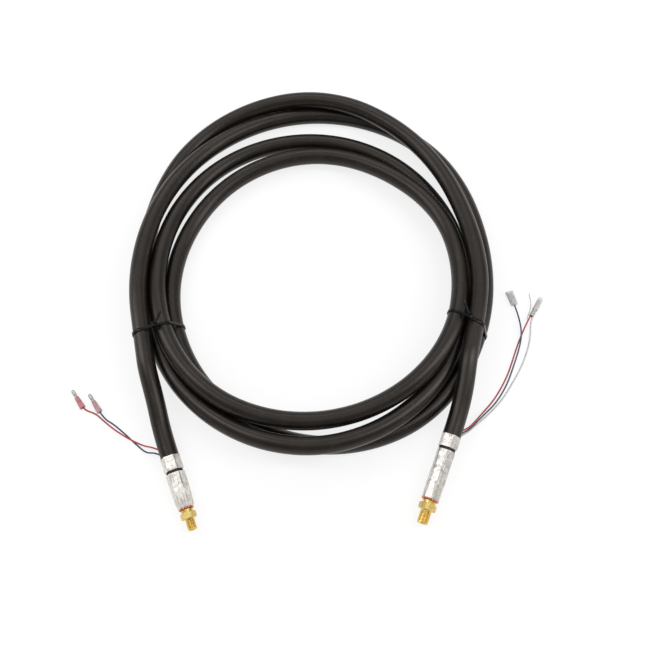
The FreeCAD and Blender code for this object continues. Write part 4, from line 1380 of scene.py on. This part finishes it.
    def build(self, cable: Cable, finishes: Finishes) -> Object:
        """Build the tie round the cable's strands.

        Args:
            cable: Cable with its line's points.
            finishes: Materials.

        Returns:
            The tie.
        """
        place = self.plane(cable)
        hull = self.crossings(cable, place)
        strap, box, tail = self.strap(hull), self.head_box(), self.tail_strip()
        (x0, y0), (x1, y1) = max(zip(hull, [*hull[1:], hull[0]]), key=lambda side: side[0][0] - side[1][0])
        lean = math.atan2(y1 - y0, x1 - x0) - math.pi
        outside = self.inside + self.thickness
        seat = y0 + (self.head_aside - x0) * math.tan(lean) + outside / math.cos(lean)
        seated = Matrix.Translation((self.head_aside, seat, 0.0)) @ Matrix.Rotation(lean, 4, "Z")
        box.transform(seated)
        strap.transform(place)
        box.transform(place)
        aim = Vector(self.tail_aim).normalized()
        onward = -Vector(place.col[2][:3]).normalized()
        side = (onward - aim * onward.dot(aim)).normalized()
        turn = Matrix((side.cross(aim), side, aim)).transposed().to_4x4()
        root = place @ seated @ Vector((0, self.head[1] / 2, 0))
        tail.transform(Matrix.Translation(root) @ turn @ Matrix.Scale(MM, 4))
        return placed(finished(self.name, joined(strap, box, tail)), "nylon", finishes.nylon, self.node)


# Control wires and terminals
@dataclass(frozen=True)
class ControlWire:
    """Thin wire out of the jacket's flank, its places in metres measured from the jacket's end."""

    name: str
    node: str
    slot: str
    fitting: FittingSizes
    terminal: str
    behind: float
    rise: float
    aside: float
    inside: float
    straight: float
    places: tuple[Spot, ...]
    root: float = 0.0077
    mouth: float = 0.014
    lean: float = 0.006
    diameter: float = 0.0018

    def build(self, terminal: Axis, material: Material) -> tuple[Object, Vector, float]:
        """Lay the wire from its hole into its terminal.

        Args:
            terminal: Axis of the terminal.
            material: Its insulation.

        Returns:
            The wire, the place where it leaves the jacket and its length.
        """
        axis = self.fitting.axis
        flank = axis.aim.cross(UP if self.fitting.side == "left" else -UP).normalized()
        middle = axis.base - axis.aim * self.behind + UP * self.rise
        start, mouth = middle + flank * self.root, middle + flank * self.mouth - axis.aim * self.lean
        corners = [Vector((axis.base.x + x, axis.base.y + y, z)) for x, y, z in self.places]
        ends = [terminal.beside(-self.straight, self.aside), terminal.beside(self.inside, self.aside)]
        wire = cord_line(self.name, [start, mouth, *corners, *ends], 12)
        length = line_length(line_points(wire))
        give_thickness(wire, self.diameter, 12)
        LOG.info("%s is %.0f mm long", wire.name, length / MM)
        return placed(wire, self.slot, material, self.node), start, length


def floor_axis(fitting: FittingSizes, start: tuple[float, float], tip: tuple[float, float],
               radius: float) -> Axis:
    """Find the axis of a terminal that lies on the floor.

    Args:
        fitting: Fitting from whose jacket end the places are measured.
        start: Rear end along X and Y, in metres.
        tip: Front end along X and Y.
        radius: Height of its axis.

    Returns:
        Level axis.
    """
    base = Vector((fitting.base[0] + start[0], fitting.base[1] + start[1], radius))
    return Axis(base, Vector((tip[0] - start[0], tip[1] - start[1], 0.0)).normalized())


@dataclass
class Bullet:
    """Male bullet terminal in its crimped vinyl sleeve."""

    colour: str
    axis: Axis
    barrel: float = 1.8
    head: float = 2.0
    front: float = 14.5
    tip: float = 25.1
    sleeve_radius: float = 3.4

    def build(self, finishes: Finishes, vinyl: Material) -> list[Object]:
        """Build the terminal and its sleeve.

        Args:
            finishes: Materials.
            vinyl: Material of the sleeve.

        Returns:
            Terminal and sleeve.
        """
        front, head = self.front, self.head
        pin = spun([
            (1.0, 5.2), (1.0, 1.0), (self.barrel, 1.0), (self.barrel, front + 0.2), (2.3, front + 0.4),
            (2.3, front + 0.9), (head - 0.6, front + 1.2), (head - 0.6, front + 2.4),
            (head - 0.2, front + 2.9), (head, front + 3.6), (head, self.tip - 2.4),
            (head - 0.3, self.tip - 1.2), (head - 0.9, self.tip - 0.3), (0.0, self.tip), (0.0, 5.2),
        ], 40, 0.1)
        outer, bore = self.sleeve_radius, self.barrel + 0.25
        skin = pipe((bore, outer), (0.0, front), 48, 0.3, 0.5)

        def crimped(bearing: float, height: float) -> float:
            """Find the radius of the sleeve, narrower to the front and squeezed in the middle.

            Args:
                bearing: Bearing in radians.
                height: Height in millimetres.

            Returns:
                Radius in millimetres.
            """
            funnel = 1.0 - 0.24 * min(1.0, height / front)
            squeeze = 1.0 - (0.16 + 0.12 * bell(height, 6.4, 2.2)) * math.cos(bearing) ** 2
            return outer * funnel * squeeze + 0.06 * math.sin(3 * bearing + height)

        reshape_skin(skin, outer, bore + 0.1, crimped)
        place = self.axis.frame()
        return [
            placed(finished(f"{self.colour}_bullet_pin", pin, place), "tinned_terminal", finishes.tin,
                   f"bullet_{self.colour}"),
            placed(finished(f"{self.colour}_bullet_sleeve", skin, place), "pink_sleeve", vinyl,
                   f"bullet_sleeve_{self.colour}"),
        ]


@dataclass
class Spade:
    """Female spade terminal with rolled edges, and the clear boot that slides over it."""

    axis: Axis
    width: float = 6.4
    thickness: float = 2.4
    length: float = 8.0
    lip_gap: float = 0.25
    sheet_wall: float = 0.35
    barrel: float = 1.8
    barrel_start: float = 1.5
    barrel_length: float = 7.0
    boot_length: float = 18.0
    boot_tail: float = 7.8
    boot_mouth: float = 9.2
    boot_height: float = 5.6
    boot_wall: float = 0.7
    oval_power: float = 0.62

    def receptacle(self, finishes: Finishes) -> Object:
        """Build the sheet metal terminal: a rolled box and a crimped barrel.

        Args:
            finishes: Materials.

        Returns:
            The terminal.
        """
        start = self.barrel_start + self.barrel_length
        sheet = bmesh.new()
        radius = self.thickness / 2 - self.sheet_wall / 2
        middle = self.width / 2 - self.thickness / 2
        last = sheet.verts.new((radius, self.lip_gap, start))
        for side in (1, -1):
            corner = sheet.verts.new((radius * side, middle * side, start))
            sheet.edges.new((last, corner))
            last = swung(sheet, corner, (0, middle * side, start), math.pi, 8)
        sheet.edges.new((last, sheet.verts.new((radius, -self.lip_gap, start))))
        grown = bmesh.ops.extrude_edge_only(sheet, edges=sheet.edges[:])
        bmesh.ops.translate(sheet, verts=fresh_verts(grown, "geom"), vec=(0, 0, self.length))
        bmesh.ops.recalc_face_normals(sheet, faces=sheet.faces[:])
        bmesh.ops.solidify(sheet, geom=sheet.faces[:], thickness=self.sheet_wall)
        barrel = pipe((1.0, self.barrel), (self.barrel_start, start + 1.2), 36, 0.12, 0.4)

        def crimped(bearing: float, height: float) -> float:
            """Radius of the barrel with its bite."""
            return self.barrel * (1.0 - 0.22 * bell(height, 5.0, 1.4) * math.cos(bearing) ** 4)

        reshape_skin(barrel, self.barrel, 1.1, crimped)
        piece = finished("spade_metal", joined(sheet, barrel), self.axis.frame())
        return placed(piece, "tinned_terminal", finishes.tin, "spade_receptacle")

    def boot(self, finishes: Finishes) -> Object:
        """Build the clear boot, a flat oval sleeve with a rounded tail.

        Args:
            finishes: Materials.

        Returns:
            The boot.
        """
        unit, hole, floor = 4.0, 1.2, 0.9
        inner = unit - self.boot_wall
        skin = spun([(inner, floor), (inner, self.boot_length), (unit, self.boot_length), (unit, 0.0),
                     (hole, 0.0), (hole, floor)], 72, 0.3, 0.6)
        for vert in skin.verts:
            share = min(1.0, vert.co.z / self.boot_length)
            across = (self.boot_tail + (self.boot_mouth - self.boot_tail) * share) / 2
            radius, bearing = polar(vert)
            up, aside = math.cos(bearing), math.sin(bearing)
            flat = math.copysign(abs(up) ** self.oval_power, up) * self.boot_height / 2
            wide = math.copysign(abs(aside) ** self.oval_power, aside) * across
            size = math.hypot(flat, wide)
            keep = max(0.0, size - (unit - radius)) / size if radius > hole + 0.1 else radius / size
            tail = 1.0 - 0.16 * max(0.0, 1.0 - vert.co.z / 2.2) ** 2
            vert.co.x, vert.co.y = flat * keep * tail, wide * keep * tail
        piece = finished("spade_boot_vinyl", skin, self.axis.frame())
        return placed(piece, "clear_sleeve", finishes.clear, "spade_boot", body=Body.BOOT)


@dataclass
class PairSocket:
    """Female bullet terminal of two wires, with its clear tube that slides."""

    axis: Axis
    barrel: float = 2.7
    barrel_length: float = 10.0
    socket: float = 2.3
    socket_length: float = 13.0
    sleeve: float = 3.2
    sleeve_length: float = 17.0
    sleeve_wall: float = 0.35
    lobe: float = 2.6

    def metal(self, finishes: Finishes) -> Object:
        """Build the crimped barrel and the socket in front of it.

        Args:
            finishes: Materials.

        Returns:
            The terminal.
        """
        end = self.barrel_length
        tip = end - 0.5 + self.socket_length
        shape = spun([(self.barrel - 0.6, 0.0), (self.barrel, 0.0), (self.barrel, end),
                      (self.socket, end + 0.8), (self.socket, tip), (self.socket - 0.3, tip),
                      (self.socket - 0.3, end + 1.0), (0.8, end - 1.5), (self.barrel - 0.6, end - 2.0)],
                     48, 0.1, 0.4)

        def crimped(bearing: float, height: float) -> float:
            """Radius of the barrel with its two bites and its slit."""
            bites = bell(height, 2.8, 0.9) + bell(height, 6.6, 0.9)
            return self.barrel - 0.5 * bites * abs(math.cos(bearing)) - 0.25 * bell(bearing, 0.4, 0.12)

        reshape_skin(shape, self.barrel, self.barrel - 0.35, crimped)
        piece = finished("pair_socket_metal", shape, self.axis.frame())
        return placed(piece, "tinned_terminal", finishes.tin, "bullet_receptacle")

    def tube(self, finishes: Finishes) -> Object:
        """Build the clear tube, its mouth cut in two lobes.

        Args:
            finishes: Materials.

        Returns:
            The tube.
        """
        start, length = self.barrel_length - 0.5, self.sleeve_length
        shape = pipe((self.sleeve - self.sleeve_wall, self.sleeve), (start, start + length), 48, 0.1, 0.6)
        for vert in shape.verts:
            share = (vert.co.z - start) / length
            vert.co.z -= self.lobe * share ** 3 * (0.5 - 0.5 * math.cos(2 * polar(vert)[1]))
            vert.co.x *= 1.0 - 0.3 * max(0.0, share - 0.6) ** 1.5
        piece = finished("pair_socket_tube", shape, self.axis.frame())
        return placed(piece, "clear_sleeve", finishes.clear, "bullet_receptacle_sleeve",
                      body=Body.SOCKET_SLEEVE)


@dataclass(frozen=True)
class ControlWiring:
    """Control wires at both ends of the cable with the points of their CAD routes, and their terminals."""

    red_bullet: Axis = floor_axis(TORCH_END, (-0.1018, 0.0568), (-0.1165, 0.0778), 0.0034)
    blue_bullet: Axis = floor_axis(TORCH_END, (-0.0826, 0.0520), (-0.0985, 0.0751), 0.0034)
    spade: Axis = floor_axis(MACHINE_END, (0.0852, 0.1593), (0.0796, 0.1783), 0.0028)
    pair: Axis = floor_axis(MACHINE_END, (0.1031, 0.1453), (0.1155, 0.1659), 0.0032)
    stray_diameter: float = 0.0009
    stray_places: tuple[Spot, ...] = ((0.1045, 0.1645, 0.0030), (0.1034, 0.1745, 0.0022))
    wires: tuple[ControlWire, ...] = (
        ControlWire("torch_red_wire", "wire_red_left", "wire_red", TORCH_END, "red_bullet",
                    0.0104, -0.0020, 0.0, 0.0050, 0.0030, (
                        (-0.0305, 0.0138, 0.00351), (-0.0420, 0.0188, 0.00378), (-0.0540, 0.0253, 0.00378),
                        (-0.0673, 0.0342, 0.00108), (-0.0785, 0.0430, 0.00099), (-0.0880, 0.0512, 0.00108))),
        ControlWire("torch_blue_wire", "wire_blue_left", "wire_dark_blue", TORCH_END, "blue_bullet",
                    0.0045, -0.0020, 0.0, 0.0050, 0.0090, (
                        (-0.0275, 0.0060, 0.00351), (-0.0395, 0.0158, 0.00099), (-0.0515, 0.0265, 0.00090),
                        (-0.0665, 0.0388, 0.00099))),
        ControlWire("machine_red_wire", "wire_red_right", "wire_red", MACHINE_END, "pair",
                    0.0076, -0.0012, 0.0011, 0.0070, 0.0100, (
                        (0.0270, 0.0168, 0.00972), (0.0380, 0.0293, 0.00252), (0.0530, 0.0454, 0.00099),
                        (0.0685, 0.0705, 0.00099), (0.0773, 0.0920, 0.00099), (0.0850, 0.1120, 0.00099))),
        ControlWire("machine_blue_wire", "wire_blue_right", "wire_grey_blue", MACHINE_END, "spade",
                    0.0050, -0.0031, 0.0, 0.0074, 0.0100, (
                        (0.0265, 0.0143, 0.00828), (0.0390, 0.0269, 0.00198), (0.0550, 0.0420, 0.00099),
                        (0.0685, 0.0630, 0.00099), (0.0780, 0.0855, 0.00099), (0.0860, 0.1065, 0.00270),
                        (0.0902, 0.1245, 0.00432))),
        ControlWire("machine_white_wire", "wire_white_right", "wire_white", MACHINE_END, "pair",
                    0.0024, -0.0050, -0.0011, 0.0070, 0.0050, (
                        (0.0265, 0.0125, 0.00666), (0.0415, 0.0250, 0.00144), (0.0605, 0.0435, 0.00090),
                        (0.0750, 0.0650, 0.00090), (0.0895, 0.0890, 0.00090), (0.1002, 0.1180, 0.00108))),
    )

    def stray_strand(self, finishes: Finishes) -> None:
        """Args:
            finishes: Materials.
        """
        base = Vector((*MACHINE_END.base[:2], 0.0))
        beside = ((-0.0060, 0.0025), (0.0, 0.0039), (0.0070, 0.0044))
        points = [*(self.pair.beside(along, aside) for along, aside in beside),
                  *(base + Vector(place) for place in self.stray_places)]
        strand = cord_line("stray_strand", points, 12)
        length = line_length(line_points(strand))
        give_thickness(strand, self.stray_diameter, 8)
        placed(strand, "copper", finishes.tin, "untrimmed_strand")

    def build(self, finishes: Finishes) -> None:
        """Build the terminals and lay the wires into them.

        Args:
            finishes: Materials.
        """
        red, blue = Bullet("red", self.red_bullet), Bullet("blue", self.blue_bullet)
        spade, socket = Spade(self.spade), PairSocket(self.pair)
        terminals = {
            "red_bullet": (self.red_bullet, red.build(finishes, finishes.pink)),
            "blue_bullet": (self.blue_bullet, blue.build(finishes, finishes.pale_pink)),
            "spade": (self.spade, [spade.receptacle(finishes), spade.boot(finishes)]),
            "pair": (self.pair, [socket.metal(finishes), socket.tube(finishes)]),
        }
        for wire in self.wires:
            axis, carried = terminals[wire.terminal]
            cord, start, length = wire.build(axis, finishes.insulation[wire.slot])
        self.stray_strand(finishes)


# Studio
def aimed(thing: Object, place: Spot, aim: Spot) -> None:
    """Put a lamp or camera in its place and turn it to its aim, both in metres."""
    thing.location = place
    thing.rotation_euler = (Vector(aim) - Vector(place)).to_track_quat("-Z", "Y").to_euler()


@dataclass(frozen=True)
class SoftBox:
    """Square or oblong lamp of even light: place and aim in metres, size in metres, power in watts."""

    name: str
    place: Spot
    aim: Spot
    size: tuple[float, float]
    power: float

    def build(self) -> None:
        """Hang the lamp."""
        data = bpy.data.lights.new(self.name, "AREA")
        data.shape = "RECTANGLE"
        data.size, data.size_y = self.size
        data.energy = self.power
        aimed(linked(self.name, data), self.place, self.aim)


@dataclass(frozen=True)
class Studio:
    """Pale floor, soft lamps, white surroundings and the camera of the photograph."""

    camera_place: Spot = (0.0134, -0.3938, 0.8629)
    camera_aim: Spot = (0.0134, -0.0364, 0.0)
    lens: float = 44.75
    floor_size: float = 6.0
    floor_colour: Colour = (0.90, 0.90, 0.90)
    floor_glow: float = 1.12
    floor_share: float = 0.70
    panel_heading: Spot = (0.0, 0.30, 0.954)
    surrounding_light: Colour = (0.55, 0.55, 0.55)
    lamps: tuple[SoftBox, ...] = (
        SoftBox("left_box", (-1.15, 0.2, 1.2), (-0.05, 0.0, 0.0), (0.4, 1.5), 6.5),
        SoftBox("right_box", (1.15, -0.1, 1.2), (0.05, 0.0, 0.0), (0.4, 1.5), 7.5),
        SoftBox("back_box", (0.0, 1.3, 1.3), (0.0, 0.1, 0.0), (1.4, 0.4), 3.0),
    )

    def camera(self) -> None:
        """Set the camera at the photograph's angle."""
        data = bpy.data.cameras.new("photo_camera")
        data.lens = self.lens
        data.sensor_width = 36.0
        camera = linked("photo_camera", data)
        aimed(camera, self.camera_place, self.camera_aim)
        bpy.context.scene.camera = camera

    def floor(self) -> None:
        """Lay the pale floor, which shows white and keeps the soft shadows."""
        shape = bmesh.new()
        bmesh.ops.create_grid(shape, x_segments=2, y_segments=2, size=self.floor_size / 2)
        floor = finished("studio_floor", shape)
        surface = Surface("pale_floor")
        surface.tree.nodes.remove(surface.shader)
        path = surface.add("LightPath").outputs
        seen = surface.largest(path["Is Camera Ray"], path["Is Glossy Ray"], path["Is Transmission Ray"])
        diffuse = surface.add("BsdfDiffuse", {"Color": self.floor_colour}).outputs[0]
        glow = surface.add("Emission", {"Color": WHITE, "Strength": self.floor_glow}).outputs[0]
        share = surface.scaled(seen, self.floor_share)
        mixed = surface.add("MixShader", {0: share, 1: diffuse, 2: glow}).outputs[0]
        surface.feed(surface.tree.nodes["Material Output"].inputs["Surface"], mixed)
        floor.data.materials.append(surface.material)

    def world(self) -> None:
        """Set the surroundings: white for the camera, a ceiling panel and walls for what reflects them."""
        world = bpy.data.worlds.new("studio_world")
        world.use_nodes = True
        bpy.context.scene.world = world
        recipe = Recipe(world.node_tree)
        path = recipe.add("LightPath").outputs
        heading = recipe.add("TexCoord").outputs["Generated"]
        towards = recipe.add("VectorMath", {0: heading, 1: self.panel_heading}, operation="DOT_PRODUCT")
        panel = recipe.spread(towards.outputs["Value"], 0.66, 0.93, 0.36, 0.98)
        height = recipe.add("SeparateXYZ", {0: heading}).outputs["Z"]
        room = recipe.math("ADD", panel, recipe.spread(height, 0.05, 0.5, 0.6, 0.0))
        reflected = recipe.largest(path["Is Glossy Ray"], path["Is Transmission Ray"])
        lit = recipe.mix(reflected, self.surrounding_light, room)
        background = world.node_tree.nodes["Background"]
        recipe.feed(background.inputs["Color"], recipe.mix(path["Is Camera Ray"], lit, WHITE))

    def build(self) -> None:
        """Build the whole studio."""
        self.camera()
        self.floor()
        self.world()
        for lamp in self.lamps:
            lamp.build()
        bpy.context.scene.view_settings.view_transform = "Standard"


def dress_hidden_nodes(finishes: Finishes) -> None:
    """Give the CAD nodes that stay, deep inside the cable, their finishes.

    Args:
        finishes: Materials.
    """
    for name, material in (("copper_strands", finishes.copper), ("inner_hose", finishes.hose)):
        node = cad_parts[name]
        node.data.materials.clear()
        node.data.materials.append(material)


def main() -> None:
    """Build the sub-assemblies in order."""
    logging.basicConfig(level=logging.INFO, format="%(name)s: %(message)s")
    finishes = Finishes()
    Studio().build()
    cable = Cable()
    jacket = cable.build(finishes)
    CrimpedFitting(TORCH_END, finishes).build()
    CrimpedFitting(MACHINE_END, finishes).build()
    for tie in (CableTie("torch_side_tie", "cable_tie_left", 208.5, -8.2, 3.0, (0.41, 0.345, 0.845)),
                CableTie("machine_side_tie", "cable_tie_right", 333.3, 1.2, -4.0, (-0.345, 0.415, 0.845))):
        tie.build(cable, finishes)
    ControlWiring().build(finishes)
    dress_hidden_nodes(finishes)


if __name__ == "__main__":
    main()
